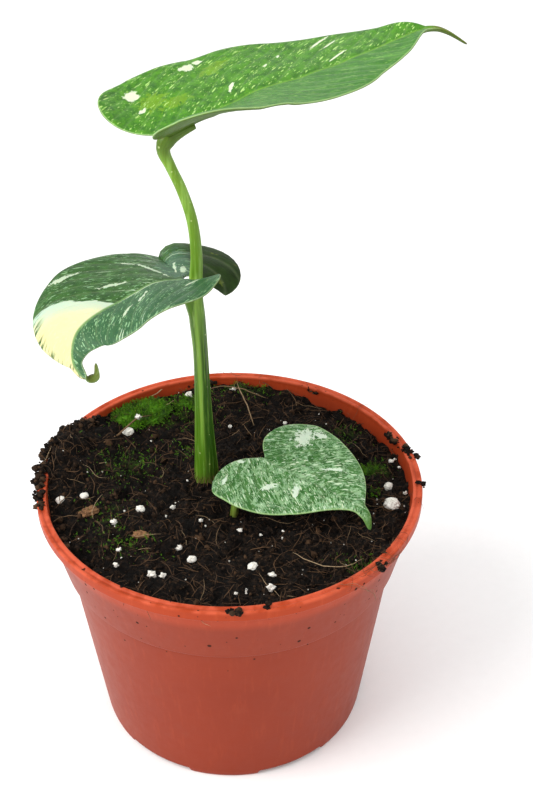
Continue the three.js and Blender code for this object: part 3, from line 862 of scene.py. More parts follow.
fibre_look = fibre_material("fibre", colour(40, 25, 15), colour(112, 82, 54))
straw_look = fibre_material("straw", colour(112, 86, 58), colour(186, 160, 124))
short_fibres = kit("fibre", [strand(wandering(i, 3.6 + 0.7 * i, 0.7), 0.07) for i in range(6)])
long_fibres = kit("long_fibre", [strand(wandering(i + 20, 9 + 1.6 * i, 0.5, 14), 0.08) for i in range(5)])
strewn(
    "fibres",
    soil,
    fibre_look,
    "soil",
    Models=short_fibres,
    Per_Square_Metre=95000.0,
    Smallest=0.6,
    Largest=1.6,
    Few_Large=2.0,
    Tilt=0.5,
    Sunk=-0.4,
    Seed=11,
)
strewn(
    "straws",
    soil,
    straw_look,
    "soil",
    Models=long_fibres,
    Per_Square_Metre=3000.0,
    Smallest=0.5,
    Largest=1.1,
    Few_Large=1.0,
    Tilt=0.3,
    Sunk=-0.8,
    Seed=5,
)

TWIGS = [
    [[-47, 18, 84.6], [-43, 20.6, 85.8], [-37, 26.1, 86.6], [-31.2, 32.3, 88.4], [-27.0, 35.0, 87.4]],
    [[7.5, 33, 84.6], [6.0, 37, 86.2], [3.6, 43, 88.8], [1.2, 49, 91.2]],
    [[-28, 48.5, 85.6], [-24.6, 51.2, 87.0], [-21.6, 53.2, 88.2]],
    [[12, 46, 86.4], [5, 48.5, 88.0], [-3, 50.5, 88.6], [-9, 50, 87.4]],
    [[-52, 2, 85.4], [-46, 9, 86.2], [-40, 12, 85.2]],
    [[19, -30, 83.8], [25, -35.5, 84.8], [33, -37, 84.6], [40, -33, 84.2]],
]
TWIG_RADII = [0.28, 0.2, 0.18, 0.18, 0.2, 0.12]
# Where rootlets lie thickest: [x, y, spread, heading, length, count].
ROOTLET_AREAS = [
    [42, -36, 5.5, -0.9, 11, 34],
    [46, -8, 5.0, 0.6, 8, 12],
    [24, -22, 7.0, 0.2, 10, 16],
    [28, 30, 8.0, 2.4, 9, 12],
    [4, 48, 8.0, 2.8, 8, 14],
    [-54, 8, 5.0, 2.2, 8, 16],
]
STEM_FOOT = [-7.5, 5.8, 86.0]
STEM_FOOT_RADIUS = 3.6
SHEATH_REMAINS = 26
HAIR = [[30, -47, 86.5], [34.5, -49.2, 88.6], [39, -48.5, 86.5], [42.5, -44.5, 80.5], [43.2, -40.8, 74.5]]


def distances(rows):
    """Distance from the first row to each row, by its first three numbers."""
    rows = np.array(rows)
    steps = np.linalg.norm(np.diff(rows[:, :3], axis=0), axis=1)
    return np.concatenate([[0], np.cumsum(steps)])


def along(rows, stations, s):
    """Smooth curve through rows of numbers at given stations."""
    last = len(stations) - 1
    i = int(clamp(np.searchsorted(stations, s, side="right") - 1, 0, last - 1))
    length = stations[i + 1] - stations[i]
    t = (s - stations[i]) / length

    def slope(j):
        before, after = max(0, j - 1), min(last, j + 1)
        return (rows[after] - rows[before]) / (stations[after] - stations[before])

    return (
        (2 * t**3 - 3 * t**2 + 1) * rows[i]
        + (t**3 - 2 * t**2 + t) * length * slope(i)
        + (3 * t**2 - 2 * t**3) * rows[i + 1]
        + (t**3 - t**2) * length * slope(i + 1)
    )


def crooked(rows, seed, steps=16, crook=0.5):
    """Points of a curve through rows, a little crooked."""
    rows = np.array(rows, float)
    stations = distances(rows)
    curve = []
    for i in range(steps):
        here = Vector(along(rows, stations, stations[-1] * i / (steps - 1)))
        place = here * 0.35 + Vector((seed * 3.1, 0, 0))
        aside = Vector([noise.noise(place + Vector((0, 0, 40 * k))) for k in range(3)])
        curve.append(here + crook * aside)
    return curve


def ground(x, y):
    """Height that a strand rests on: the soil, the lip, or the collar's slope outside it."""
    radius = math.hypot(x, y)
    if radius > RIM_RADIUS:
        return POT_HEIGHT + 0.3 - 2.0 * (radius - RIM_RADIUS)
    return max(soil_height(x, y) + 0.9, POT_HEIGHT + 0.3 if radius > RIM_RADIUS - LIP_WIDTH else 0)


def rootlet_rows(chance, x, y, heading, length):
    """Curling path of a hair root that starts at a place and heads a way."""
    rows = []
    for i in range(6):
        inside = min(1.0, (RIM_RADIUS + 0.7) / math.hypot(x, y))
        x, y = x * inside, y * inside
        rows.append([x, y, ground(x, y) + chance.uniform(0, 0.9)])
        heading += chance.normal(0, 0.5)
        x += math.cos(heading) * length / 5
        y += math.sin(heading) * length / 5
    return rows


def bundle(name, look, strands):
    """One piece from several strands, each with its own tint."""
    points, faces, tints = [], [], []
    for i, (strand_points, strand_faces) in enumerate(strands):
        first = len(points)
        points += strand_points
        faces += [tuple(first + v for v in face) for face in strand_faces]
        tints += [(i * 0.37) % 1] * len(strand_points)
    made = mesh_object(name, points, faces)
    float_attribute(made, "tint", tints)
    made.data.materials.append(look)
    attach(made, "root")


chance = np.random.default_rng(31)
twigs = [strand(crooked(rows, i), radius, 8) for i, (rows, radius) in enumerate(zip(TWIGS, TWIG_RADII))]
bundle("twigs", straw_look, twigs)
rootlets = []
for x, y, spread, heading, length, count in ROOTLET_AREAS:
    for i in range(count):
        start = chance.normal(0, spread, 2)
        rows = rootlet_rows(chance, x + start[0], y + start[1], heading + chance.normal(0, 0.8), length)
        rootlets.append(strand(crooked(rows, i, 14, 0.8), 0.06))
stem_x, stem_y, stem_z = STEM_FOOT
for i in range(SHEATH_REMAINS):
    turn = 2 * math.pi * i / SHEATH_REMAINS
    out = Vector((math.cos(turn), math.sin(turn), 0))
    top = Vector((stem_x, stem_y, stem_z + 1.5 * chance.random())) + out * STEM_FOOT_RADIUS
    foot = top + out * chance.uniform(1.2, 3.4) + Vector((0, 0, -2.6))
    rootlets.append(strand(crooked([top, (top + foot) / 2 + out * 0.6, foot], i, 7, 0.6), 0.12))
bundle("rootlets", fibre_look, rootlets)
hairs = [strand(crooked(HAIR, 3, 20, 0.3), 0.06), strand(crooked(HAIR[::-1], 9, 20, 1.4), 0.05)]
bundle("hair_roots", straw_look, hairs)


# Perlite
# Expanded volcanic glass mixed into the soil: white, brittle, full of pores. The eight largest
# grains are pieces of their own; the small ones are strewn.

# Large grains as [x, y, three half sizes, turn], small ones as [x, y, half size]. The last small
# grain lies on a twig, higher than the soil.
PERLITE = [
    [50.4, -7.0, 2.6, 2.2, 2.0, 20],
    [50.0, 3.0, 1.5, 1.3, 1.1, 50],
    [-34.6, 28.7, 1.9, 1.5, 1.3, 10],
    [-52.5, -6.5, 1.5, 1.2, 1.0, 70],
    [-45.5, -4.0, 1.3, 1.1, 1.0, 30],
    [-27.5, -9.5, 1.4, 1.2, 1.0, 0],
    [7.4, -35.6, 1.7, 1.3, 1.1, 40],
    [-10.6, -32.3, 1.4, 1.1, 1.0, 15],
]
SMALL_PERLITE = [
    [-15.4, 49.9, 1.1],
    [-35.0, -16.2, 0.9],
    [-17.5, -9.0, 0.8],
    [-8.6, -15.7, 0.6],
    [-32.4, -29.0, 0.7],
    [-14.6, -28.4, 0.9],
    [-21.8, -40.4, 1.2],
    [-18.6, -41.0, 0.8],
    [-32.6, -36.1, 0.7],
    [13.0, -40.4, 0.9],
    [12.7, -45.4, 1.1],
    [5.5, -46.3, 0.5],
    [2.7, -48.3, 0.5],
    [3.4, -20.9, 0.7],
    [9.7, -21.8, 0.4],
    [51.5, 12.7, 0.7],
    [54.0, 10.6, 0.5],
    [55.0, -1.7, 0.6],
    [17.6, 35.2, 0.6],
    [0.2, 49.9, 0.7],
    [-0.8, 33.5, 0.6],
    [-31.2, 32.3, 0.9],
]
TWIG_LIFT = 2.6


def ball(rings=40, sides=64):
    """Points and faces of a unit ball from rings and two poles."""
    return lump_points(0, rings=rings, sides=sides, rough=0), lump_faces(rings, sides)


def placed_lump(name, item, shape, sink=0.25):
    """Lump on the soil: item is [x, y, half sizes, turn], shape pushes each point of a ball."""
    x, y, *sizes, turn = item
    centre = Vector((x, y, soil_height(x, y) + sink * sizes[2]))
    c, s = math.cos(math.radians(turn)), math.sin(math.radians(turn))
    ball_points, faces = ball()
    points = []
    for point in ball_points:
        a, b, height = (value * size for value, size in zip(Vector(point) * shape(Vector(point)), sizes))
        points.append(centre + Vector((a * c - b * s, a * s + b * c, height)))
    return mesh_object(name, points, faces)


def perlite_shape(seed):
    """Lumpy grain with open pores."""
    shift = Vector((seed * 7.3, seed * 2.1, 0))

    def shape(point):
        lumps = noise.fractal(point * 1.3 + shift, 0.9, 2, 4)
        pores = noise.voronoi(point * 4 + shift)[0][0]
        return 1.02 + 0.2 * lumps - 0.16 * math.exp(-((pores / 0.28) ** 2))

    return shape


def perlite_material():
    made, tree, shader = material("perlite")
    place = object_place(tree)
    pores = add(tree, "ShaderNodeTexVoronoi", {"Vector": place, "Scale": 2600.0, "Randomness": 1.0})
    # Painted shade: the pores are painted grey.
    deep = step(tree, pores.outputs["Distance"], 0.35, 0.05)
    dusty = step(tree, grain(tree, place, 1.2, detail=5, roughness=0.7), 0.5, 0.72)
    base = blend(tree, deep, colour(238, 235, 226), colour(160, 148, 130))
    base = blend(tree, maths(tree, "MULTIPLY", dusty, 0.7), base, colour(112, 90, 62))
    rough = maths(tree, "MULTIPLY_ADD", grain(tree, place, 0.6), 0.2, 0.7)
    relief = maths(tree, "SUBTRACT", grain(tree, place, 0.5, detail=4), deep)
    surface(tree, shader, base, rough, relief, 0.12, Specular_IOR_Level=0.35)
    return made


perlite_look = perlite_material()
for i, item in enumerate(PERLITE):
    piece = placed_lump(f"perlite_grain_{i + 1}", item, perlite_shape(i))
    piece.data.materials.append(perlite_look)
    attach(piece, "root")
    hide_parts(f"perlite_{i + 1}")

small_points, small_faces = [], []
for i, (x, y, size) in enumerate(SMALL_PERLITE):
    first = len(small_points)
    lift = TWIG_LIFT if i == len(SMALL_PERLITE) - 1 else 0
    centre = Vector((x, y, soil_height(x, y) + 0.9 + 0.5 * size + lift))
    shape = lump_points(i * 5 + 2, (1, 0.8, 0.8), 9, 14, 1.0)
    small_points += [centre + Vector(point) * size for point in shape]
    small_faces += [tuple(first + v for v in face) for face in lump_faces(9, 14)]
small_grains = mesh_object("small_perlite", small_points, small_faces)
small_grains.data.materials.append(perlite_look)
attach(small_grains, "root")

perlite_bits = kit(
    "perlite_bit", [(lump_points(i + 30, (1, 0.85, 0.8), rough=0.8), lump_faces()) for i in range(4)]
)
strewn(
    "fine_perlite",
    soil,
    perlite_look,
    "perlite",
    Models=perlite_bits,
    Per_Square_Metre=8000.0,
    Smallest=0.12,
    Largest=0.5,
    Few_Large=3.0,
    Tilt=1.5,
    Sunk=-0.4,
    Seed=8,
)


# Bark chips
# Two larger chips of composted pine bark from the potting mix, flat and split along their grain.
# They lie loose on the soil.

BARK = [
    [-43.4, -11.1, 3.2, 1.7, 1.2, 35],
    [-26.3, -21.1, 2.6, 1.4, 1.0, -15],
]


def bark_shape(seed):
    """Flat chip with ridges along it and broken ends."""
    shift = Vector((seed * 5.1, 0, seed * 3.3))

    def shape(point):
        ridges = 0.09 * math.sin(9 * point.y + 2.5 * noise.noise(point * 2 + shift))
        broken = 0.22 * noise.fractal(Vector((point.x * 4, point.y * 1.4, point.z)) + shift, 0.8, 2, 4)
        square = 1 / max(0.72, max(abs(point.x), abs(point.y), abs(point.z))) ** 0.5
        return square * (0.95 + ridges + broken)

    return shape


def bark_material():
    made, tree, shader = material("bark")
    place = object_place(tree)
    layers = grain(tree, place, 0.9, detail=6, roughness=0.7, distortion=1.5, stretch=(0.5, 1.6, 3))
    base = blend(tree, step(tree, layers, 0.3, 0.7), colour(62, 38, 24), colour(168, 124, 84))
    base = blend(tree, step(tree, grain(tree, place, 2.4), 0.6, 0.75), base, colour(36, 24, 18))
    rough = maths(tree, "MULTIPLY_ADD", layers, 0.25, 0.65)
    surface(tree, shader, base, rough, layers, 0.3, Specular_IOR_Level=0.25)
    return made


bark_look = bark_material()
for i, item in enumerate(BARK):
    piece = placed_lump(f"bark_chip_{i + 1}", item, bark_shape(i))
    piece.data.materials.append(bark_look)
    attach(piece, "root")
    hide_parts(f"bark_{i + 1}")


# Moss
# Cushions of living moss on the damp soil: a dark mat that holds hundreds of upright shoots with
# tiny bright leaves. Each cushion is one piece; its shoots grow out of its mat.

MOSS = [
    [-31.0, 39.0, 10.5, 6.5, 2.4, 30],
    [-15.5, 46.0, 5.0, 4.0, 2.0, 0],
    [45.0, 11.0, 3.0, 2.4, 1.3, 40],
]


def moss_shape(seed):
    """Low cushion of small domes."""
    shift = Vector((seed * 4.3, seed * 1.1, 0))

    def shape(point):
        domes = noise.voronoi(point * 2.6 + shift)[0][0]
        return 1.08 - 0.3 * domes + 0.1 * noise.fractal(point * 4 + shift, 0.8, 2, 3)

    return shape


def shoot(seed):
    """Upright stem with narrow leaves all round it, one millimetre tall."""
    points, faces = [], []
    for i in range(11):
        height = 0.1 + 0.085 * i
        turn = 2.4 * i + seed
        spread = 0.34 * (1.15 - height)
        out = Vector((math.cos(turn), math.sin(turn), 0))
        side = Vector((-out.y, out.x, 0)) * 0.055
        foot = Vector((0.05 * math.sin(seed), 0.05 * math.cos(seed), height))
        middle = foot + out * spread * 0.6 + Vector((0, 0, 0.16))
        tip = foot + out * spread + Vector((0, 0, 0.36))
        first = len(points)
        points += [foot - side * 0.4, foot + side * 0.4, middle + side, middle - side, tip]
        faces += [(first, first + 1, first + 2, first + 3), (first + 3, first + 2, first + 4)]
    return points, faces


def moss_material():
    made, tree, shader = material("moss")
    place = object_place(tree)
    patch = grain(tree, place, 5, detail=3)
    fine = grain(tree, place, 0.7, detail=4)
    base = blend(tree, step(tree, patch, 0.35, 0.65), colour(26, 50, 4), colour(84, 140, 12))
    base = blend(tree, maths(tree, "MULTIPLY", attribute(tree, "tint"), 0.5), base, colour(104, 156, 14))
    base = blend(tree, step(tree, fine, 0.58, 0.76), base, colour(150, 192, 40))
    rough = maths(tree, "MULTIPLY_ADD", fine, 0.25, 0.5)
    surface(tree, shader, base, rough, fine, 0.2, Specular_IOR_Level=0.3, Subsurface_Weight=0.1)
    shader.inputs["Subsurface Scale"].default_value = 0.5 * MM
    return made


moss_look = moss_material()
shoots = kit("shoot", [shoot(i) for i in range(4)])
for i, item in enumerate(MOSS):
    piece = placed_lump(f"moss_cushion_{i + 1}", item, moss_shape(i), sink=-0.1)
    piece.data.materials.append(moss_look)
    heights = [v.co.z for v in piece.data.vertices]
    level = soil_height(item[0], item[1]) * MM
    float_attribute(piece, "on_top", [1.0 if z > level - 0.2 * MM else 0.0 for z in heights])
    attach(piece, "root")
    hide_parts(f"moss_{i + 1}")
    strewn(
        f"moss_shoots_{i + 1}",
        piece,
        moss_look,
        "moss",
        Models=shoots,
        Per_Square_Metre=4200000.0,
        Smallest=0.7,
        Largest=2.1,
        Few_Large=1.6,
        Tilt=0.8,
        Sunk=0.2,
        Seed=40 + i,
    )
strewn(
    "moss_film",
    soil,
    moss_look,
    "moss",
    Models=shoots,
    Per_Square_Metre=1900000.0,
    Where="mossy",
    Smallest=0.4,
    Largest=1.5,
    Few_Large=2.0,
    Tilt=0.9,
    Sunk=-0.1,
    Seed=60,
)


# Roots
# Thick white roots from a crown under the stem. They are inside the soil and can't be seen, so the
# CAD piece stays as it is and gets the look of a matt root.


def root_material():
    made, tree, shader = material("root")
    place = object_place(tree)
    rings = grain(tree, place, 1.2, detail=5, stretch=(1, 1, 2.5))
    base = blend(tree, rings, colour(206, 184, 142), colour(164, 134, 92))
    rough = maths(tree, "MULTIPLY_ADD", rings, 0.2, 0.7)
    surface(tree, shader, base, rough, rings, 0.15, Specular_IOR_Level=0.3)
    return made


root_look = root_material()
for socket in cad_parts["roots"].material_slots:
    socket.material = root_look


# Stem
# One stem grown with its three stalks. Its foot is a flattened sheath with fine ridges and a dark
# groove where the sheath's edges meet, painted darker in a wide band down the sheath's right side
# that is partly the groove's colour and partly painted shade; above it the long stalk of the top
# leaf is smooth and round, and the left leaf's short stalk leaves the sheath at a joint.

# Rows of each stalk from its foot up: [x, y, z, half width, half depth].
MAIN_STALK = [
    [-7.2, 5.8, 56.6, 4.2, 4.2],
    [-7.2, 5.8, 70, 4.2, 4.0],
    [-7.5, 5.8, 82, 4.0, 3.6],
    [-7.8, 5.8, 96, 3.2, 2.9],
    [-8.0, 5.8, 113, 2.5, 2.4],
    [-8.2, 5.8, 131, 2.2, 2.2],
    [-8.9, 5.8, 144, 2.4, 2.1],
    [-9.2, 5.8, 152, 2.1, 1.9],
    [-8.5, 5.8, 164, 1.7, 1.7],
    [-9.4, 5.8, 175, 1.55, 1.6],
    [-11.9, 5.8, 184.3, 1.5, 1.6],
    [-14.9, 5.8, 191.8, 1.5, 1.6],
    [-16.5, 5.8, 196.2, 1.9, 1.8],
    [-15.4, 6.1, 199.0, 2.4, 2.0],
    [-12.2, 7.2, 200.6, 1.6, 1.4],
    [-8.0, 8.9, 202.0, 1.0, 1.0],
]
LEFT_STALK = [
    [-9.0, 5.6, 141, 1.6, 1.6],
    [-10.3, 5.2, 147.5, 1.7, 1.6],
    [-11.9, 4.7, 152.6, 1.4, 1.4],
    [-13.4, 4.2, 155.2, 1.4, 1.3],
    [-17.0, 3.0, 156.0, 0.9, 0.8],
]
SMALL_STALK = [
    [-5.6, 3.6, 64, 1.6, 1.6],
    [-1.2, -7.0, 72, 1.5, 1.5],
    [1.0, -11.0, 80, 1.3, 1.3],
    [1.9, -10.9, 86.5, 1.2, 1.2],
    [4.6, -7.0, 92.6, 1.1, 1.1],
    [8.6, -2.4, 95.3, 1.1, 1.1],
    [12.4, -2.0, 95.2, 0.8, 0.8],
]
RIDGES = 15
GROOVE_TURN = -28


def limb(rows, sides, gap, relief):
    """Closed limb through rows of [x, y, z, half width, half depth]; relief(angle, s, z) raises its skin."""
    rows = np.array(rows, float)
    stations = distances(rows)
    length = stations[-1]
    count = round(length / gap)
    points, places = [], []
    side = Vector((1, 0, 0))
    for i in range(count + 1):
        s = length * i / count
        row = along(rows, stations, s)
        ahead = along(rows, stations, min(length, s + 0.1))
        behind = along(rows, stations, max(0, s - 0.1))
        way = Vector(ahead[:3] - behind[:3]).normalized()
        side = (side - way * side.dot(way)).normalized()
        deep = way.cross(side)
        for j in range(sides):
            angle = 2 * math.pi * j / sides
            lift = relief(angle, s, row[2])
            across = side * math.cos(angle) * (row[3] + lift) + deep * math.sin(angle) * (row[4] + lift)
            points.append(Vector(row[:3]) + across)
            places.append((j / sides, s * MM))
    faces = ring_faces(count + 1, sides)
    faces.append(tuple(reversed(range(sides))))
    faces.append(tuple(range(count * sides, (count + 1) * sides)))
    return points, faces, places


def sheath_relief(angle, s, z):
    """Fine ridges that fade up the stalk, one deep groove on the sheath and a ring at the joint."""
    low = smooth(150, 96, z)
    ridges = 0.1 * mix(0.25, 1, low) * math.cos(RIDGES * angle + 1.2 * math.sin(z / 17))
    turn = (math.degrees(angle) - GROOVE_TURN + 4 * math.sin(z / 23) + 180) % 360 - 180
    groove = 0.75 * low * math.exp(-((turn / 13) ** 2))
    second = 0.3 * low * math.exp(-(((turn + 55) / 10) ** 2))
    ring = 0.12 * math.exp(-(((z - 150.5) / 0.8) ** 2))
    return ridges - groove - second + ring


def stalk_relief(angle, s, z):
    return 0.05 * math.cos(7 * angle + 0.3 * s)


def uv_map(mesh, name, places):
    """Named UV map from one place per vertex."""
    layer = mesh.uv_layers.new(name=name)
    index = np.zeros(len(mesh.loops), int)
    mesh.loops.foreach_get("vertex_index", index)
    layer.data.foreach_set("uv", np.array(places, float)[index].ravel())


def joined(name, parts):
    """One mesh from several lists of points, faces and places."""
    points, faces, places = [], [], []
    for part_points, part_faces, part_places in parts:
        first = len(points)
        points += part_points
        faces += [tuple(first + v for v in face) for face in part_faces]
        places += part_places
    made = mesh_object(name, points, faces)
    uv_map(made.data, "Stalk", places)
    return made


def stem_material():
    made, tree, shader = material("stem_green")
    place = object_place(tree)
    stalk = add(tree, "ShaderNodeUVMap", uv_map="Stalk").outputs[0]
    apart = add(tree, "ShaderNodeSeparateXYZ", {"Vector": stalk})
    height = add(tree, "ShaderNodeSeparateXYZ", {"Vector": place}).outputs["Z"]
    lines = grain(tree, place, 0.7, detail=4, roughness=0.6, stretch=(1, 1, 0.05))
    bands = grain(tree, place, 2.2, detail=2, stretch=(1, 1, 0.04))
    base = blend(tree, step(tree, height, 0.13, 0.2), colour(78, 120, 22), colour(104, 140, 24))
    base = blend(tree, step(tree, bands, 0.45, 0.62), base, colour(126, 166, 62))
    pale = maths(tree, "MULTIPLY", step(tree, lines, 0.55, 0.75), 0.6)
    base = blend(tree, pale, base, colour(160, 190, 108))
    # A wide dark band down the sheath's right side, over the groove: partly the groove's colour, partly
    # painted shade of the side turned from the light.
    painted_shade = maths(tree, "ABSOLUTE", maths(tree, "SUBTRACT", apart.outputs["X"], 0.9))
    low = step(tree, height, 0.16, 0.13)
    dark = maths(tree, "MULTIPLY", step(tree, painted_shade, 0.17, 0.1), low)
    streaky = maths(tree, "MULTIPLY_ADD", step(tree, lines, 0.5, 0.62), -0.35, 0.95)
    base = blend(tree, maths(tree, "MULTIPLY", dark, streaky), base, colour(36, 72, 4))
    foot = step(tree, height, 0.089, 0.083)
    base = blend(tree, maths(tree, "MULTIPLY", foot, 0.6), base, colour(96, 84, 38))
    funnel = step(tree, height, 0.192, 0.198)
    base = blend(tree, maths(tree, "MULTIPLY", funnel, 0.85), base, colour(66, 92, 6))
    dots = use(tree, SPECKS, Place=place, Size=1.6, Share=0.12)["Mask"]
    base = blend(tree, maths(tree, "MULTIPLY", dots, 0.5), base, colour(196, 206, 140))
    rough = maths(tree, "MULTIPLY_ADD", lines, 0.2, 0.32)
    relief = maths(tree, "ADD", lines, maths(tree, "MULTIPLY", bands, 0.5))
    surface(tree, shader, base, rough, relief, 0.09, Specular_IOR_Level=0.3, Subsurface_Weight=0.12)
    shader.inputs["Subsurface Scale"].default_value = 1.0 * MM
    return made


stem = joined(
    "stem_and_stalks",
    [
        limb(MAIN_STALK, 90, 1.0, sheath_relief),
        limb(LEFT_STALK, 40, 0.6, stalk_relief),
        limb(SMALL_STALK, 36, 0.8, stalk_relief),
    ],
)
stem.data.materials.append(stem_material())
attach(stem, "root")
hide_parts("stem")


# Leaves
# Three firm, waxy heart-shaped blades, each grown as one piece and folded along its midrib. Green
# and white cells grew mixed, so flecks, streaks and whole sectors are white. Side veins are sunk
# in the top and raised below.

BLADE = 0.9
BLADE_COLUMNS = 34
VEIN_GAP = 6.5
RISE_EASE = 1.6

# "facing" is 1 or -1, so that the top looks up; "drip" is the length and half width of the drip tip.
# Each of the two halves, far side first, reaches "back" behind the stalk. It is "lobe" wide at its
# back end and "width" wide at the station "widest"; "open" shapes the notch, "p" and "q" the taper.
# Its back lobe nods down by "nod" degrees within "turn" millimetres and rises by "rise" degrees.
# Midrib rows are [x, y, z, sideways x, sideways y, rise of the far half, rise of the near half].

LEAF_TOP = {
    "facing": -1,
    "drip": [15, 1.8],
    "halves": [
        dict(back=15, width=31, widest=8, lobe=17, open=1, p=2.3, q=0.8, nod=-22, turn=15, rise=22),
        dict(back=6, width=29, widest=12, lobe=10, open=1, p=2.2, q=0.8, nod=0, turn=5, rise=34),
    ],
    "midrib": [
        [-14.5, 5.8, 200.9, -0.27, 0.96, 12, 30],
        [-7.3, 9.0, 203.8, -0.27, 0.96, 9, 25],
        [1.0, 13.0, 206.1, -0.27, 0.96, 6, 18],
        [9.1, 17.0, 208.4, -0.27, 0.96, 4, 13],
        [21.7, 22.0, 210.6, -0.27, 0.96, 2, 8],
        [34.5, 28.0, 213.1, -0.27, 0.96, 0, 6],
        [46.2, 32.0, 216.6, -0.27, 0.96, 0, 6],
        [53.6, 35.0, 218.8, -0.27, 0.96, 14, 16],
        [60.0, 37.0, 218.4, -0.27, 0.96, 26, 26],
        [68.5, 41.0, 212.9, -0.27, 0.96, 30, 30],
    ],
}
LEAF_LEFT = {
    "facing": 1,
    "drip": [11, 3.2],
    "halves": [
        dict(back=12.5, width=29, widest=12, lobe=7, open=0.25, p=2.3, q=0.74, nod=72, turn=5, rise=92),
        dict(back=9, width=20, widest=10, lobe=8.5, open=0.4, p=2.0, q=0.85, nod=-5, turn=5, rise=24),
    ],
    "midrib": [
        [-12.5, 4.5, 157.0, -0.25, 0.96, -14, 12],
        [-21.1, 1.5, 157.0, -0.28, 0.95, -9, 9],
        [-30.1, -2.5, 153.8, -0.36, 0.93, 0, 6],
        [-36.8, -7.0, 151.6, -0.5, 0.86, 2, 0],
        [-41.3, -11.0, 149.0, -0.68, 0.72, -2, -4],
        [-42.9, -14.5, 145.3, -0.8, 0.6, -10, -4],
        [-41.9, -17.0, 141.1, -0.85, 0.52, -14, -4],
        [-39.1, -18.5, 138.4, -0.85, 0.52, -8, 0],
        [-36.3, -18.5, 138.7, -0.6, 0.8, 0, 0],
        [-36.3, -16.4, 142.0, -0.6, 0.8, 0, 0],
    ],
}
LEAF_SMALL = {
    "facing": -1,
    "drip": [7, 2.6],
    "halves": [
        dict(back=4.5, width=20, widest=8, lobe=7, open=0.8, p=2.2, q=0.8, nod=0, turn=5, rise=12),
        dict(back=14, width=20, widest=1, lobe=12, open=0.8, p=1.5, q=1.05, nod=32, turn=13, rise=-26),
    ],
    "midrib": [
        [10.9, -1.0, 96.9, 0.5, 0.87, 10, -14],
        [17.1, -5.0, 95.6, 0.5, 0.87, 12, -16],
        [24.7, -9.0, 94.2, 0.5, 0.87, 12, -16],
        [32.1, -13.0, 93.0, 0.5, 0.87, 10, -14],
        [37.9, -17.0, 91.8, 0.6, 0.8, 4, -12],
        [41.3, -19.6, 89.3, 0.7, 0.7, -4, -10],
        [42.6, -21.6, 85.4, 0.7, 0.7, -4, -10],
    ],
}


def edges(leaf, length, half, s):
    """Inner and outer distance from the midrib at a station s of one half."""
    gone = (max(0, -s) / half["back"]) ** half["open"] if s < 0 else 0
    inner = half["lobe"] * (1 - math.sqrt(max(0, 1 - gone)))
    widest, width, lobe = half["widest"], half["width"], half["lobe"]
    if s <= widest:
        u = (widest - s) / (widest + half["back"])
        return inner, lobe + (width - lobe) * math.sqrt(max(0, 1 - u * u))
    drip_length, drip_width = leaf["drip"]
    x = clamp((s - widest) / (length - drip_length - widest))
    taper = width * (1 - x ** half["p"]) ** half["q"]
    point = math.sqrt(clamp((length - s) / (1.6 * drip_length)))
    return inner, math.hypot(taper, drip_width * min(1, 2 * x) * point)


def blade_frame(leaf, rows, stations, side, s):
    """Midrib point, sideways and upward directions and the half's rise at a station."""
    half = leaf["halves"][side]
    f = max(0, s)
    row = along(rows, stations, f)
    ahead = along(rows, stations, f + 0.05)
    behind = along(rows, stations, max(0, f - 0.05))
    way = Vector(ahead[:3] - behind[:3]).normalized()
    out = Vector((row[3], row[4], 0))
    out = (out - way * out.dot(way)).normalized()
    up = out.cross(way) * leaf["facing"]
    back = max(0, -s)
    curl = (math.radians(half["nod"]) or 1e-6) / half["turn"]
    bent = min(back, half["turn"])
    angle = curl * bent
    straight = back - bent
    point = Vector(row[:3])
    point -= way * (math.sin(angle) / curl + straight * math.cos(angle))
    point -= up * ((1 - math.cos(angle)) / curl + straight * math.sin(angle))
    lift = up * math.cos(angle) - way * math.sin(angle)
    rise = math.radians(mix(row[5 + side], half["rise"], (back / half["back"]) ** RISE_EASE))
    return point, out if side == 0 else -out, lift, rise


def vein_place(s, y):
    """Where a point lies between side veins, which leave the midrib forward and arch to the margin."""
    return s - 0.95 * y - 0.014 * y * y


def blade_grid(leaf, rows, columns):
    """Points of the middle surface with station, distance, margin and faces."""
    midrib = np.array(leaf["midrib"], float)
    stations = distances(midrib)
    length = stations[-1]
    points, facts, faces, known = [], [], [], {}

    def vertex(side, s, y, margin, place):
        key = tuple(round(value, 3) for value in place)
        if key not in known:
            known[key] = len(points)
            points.append(place)
            facts.append((side, s, y, margin))
        return known[key]

    for side, half in enumerate(leaf["halves"]):
        back_rows = max(10, round(half["back"] * 1.6))
        spots = [-half["back"] * math.cos(math.pi / 2 * i / back_rows) for i in range(back_rows)]
        spots += [length * (i / rows) for i in range(rows + 1)]
        grid = []
        for s in spots:
            inner, outer = edges(leaf, length, half, s)
            point, out, lift, rise = blade_frame(leaf, midrib, stations, side, s)
            row = []
            for j in range(columns + 1):
                t = j / columns
                y = mix(inner, outer, 1 - (1 - t) ** 1.5)
                margin = min(outer - y, 0.6 * (length - s), 1.2 * (s + half["back"]))
                if s < 0:
                    margin = min(margin, y - inner + 4 * smooth(-2, 0, s))
                place = point + out * y * math.cos(rise) + lift * y * math.sin(rise)
                row.append(vertex(side, s, y, max(0, margin), place))
            grid.append(row)
        for i in range(len(grid) - 1):
            for j in range(columns):
                face = []
                for v in (grid[i][j], grid[i + 1][j], grid[i + 1][j + 1], grid[i][j + 1]):
                    if v not in face:
                        face.append(v)
                if len(face) > 2:
                    flip = (side == 0) == (leaf["facing"] > 0)
                    faces.append(tuple(reversed(face)) if flip else tuple(face))
    return points, facts, faces, length


def surface_normals(points, faces):
    total = [Vector() for _ in points]
    for face in faces:
        a, b, c = (points[face[k]] for k in (0, 1, 2))
        normal = (b - a).cross(c - a)
        for v in face:
            total[v] += normal
    return [n.normalized() for n in total]


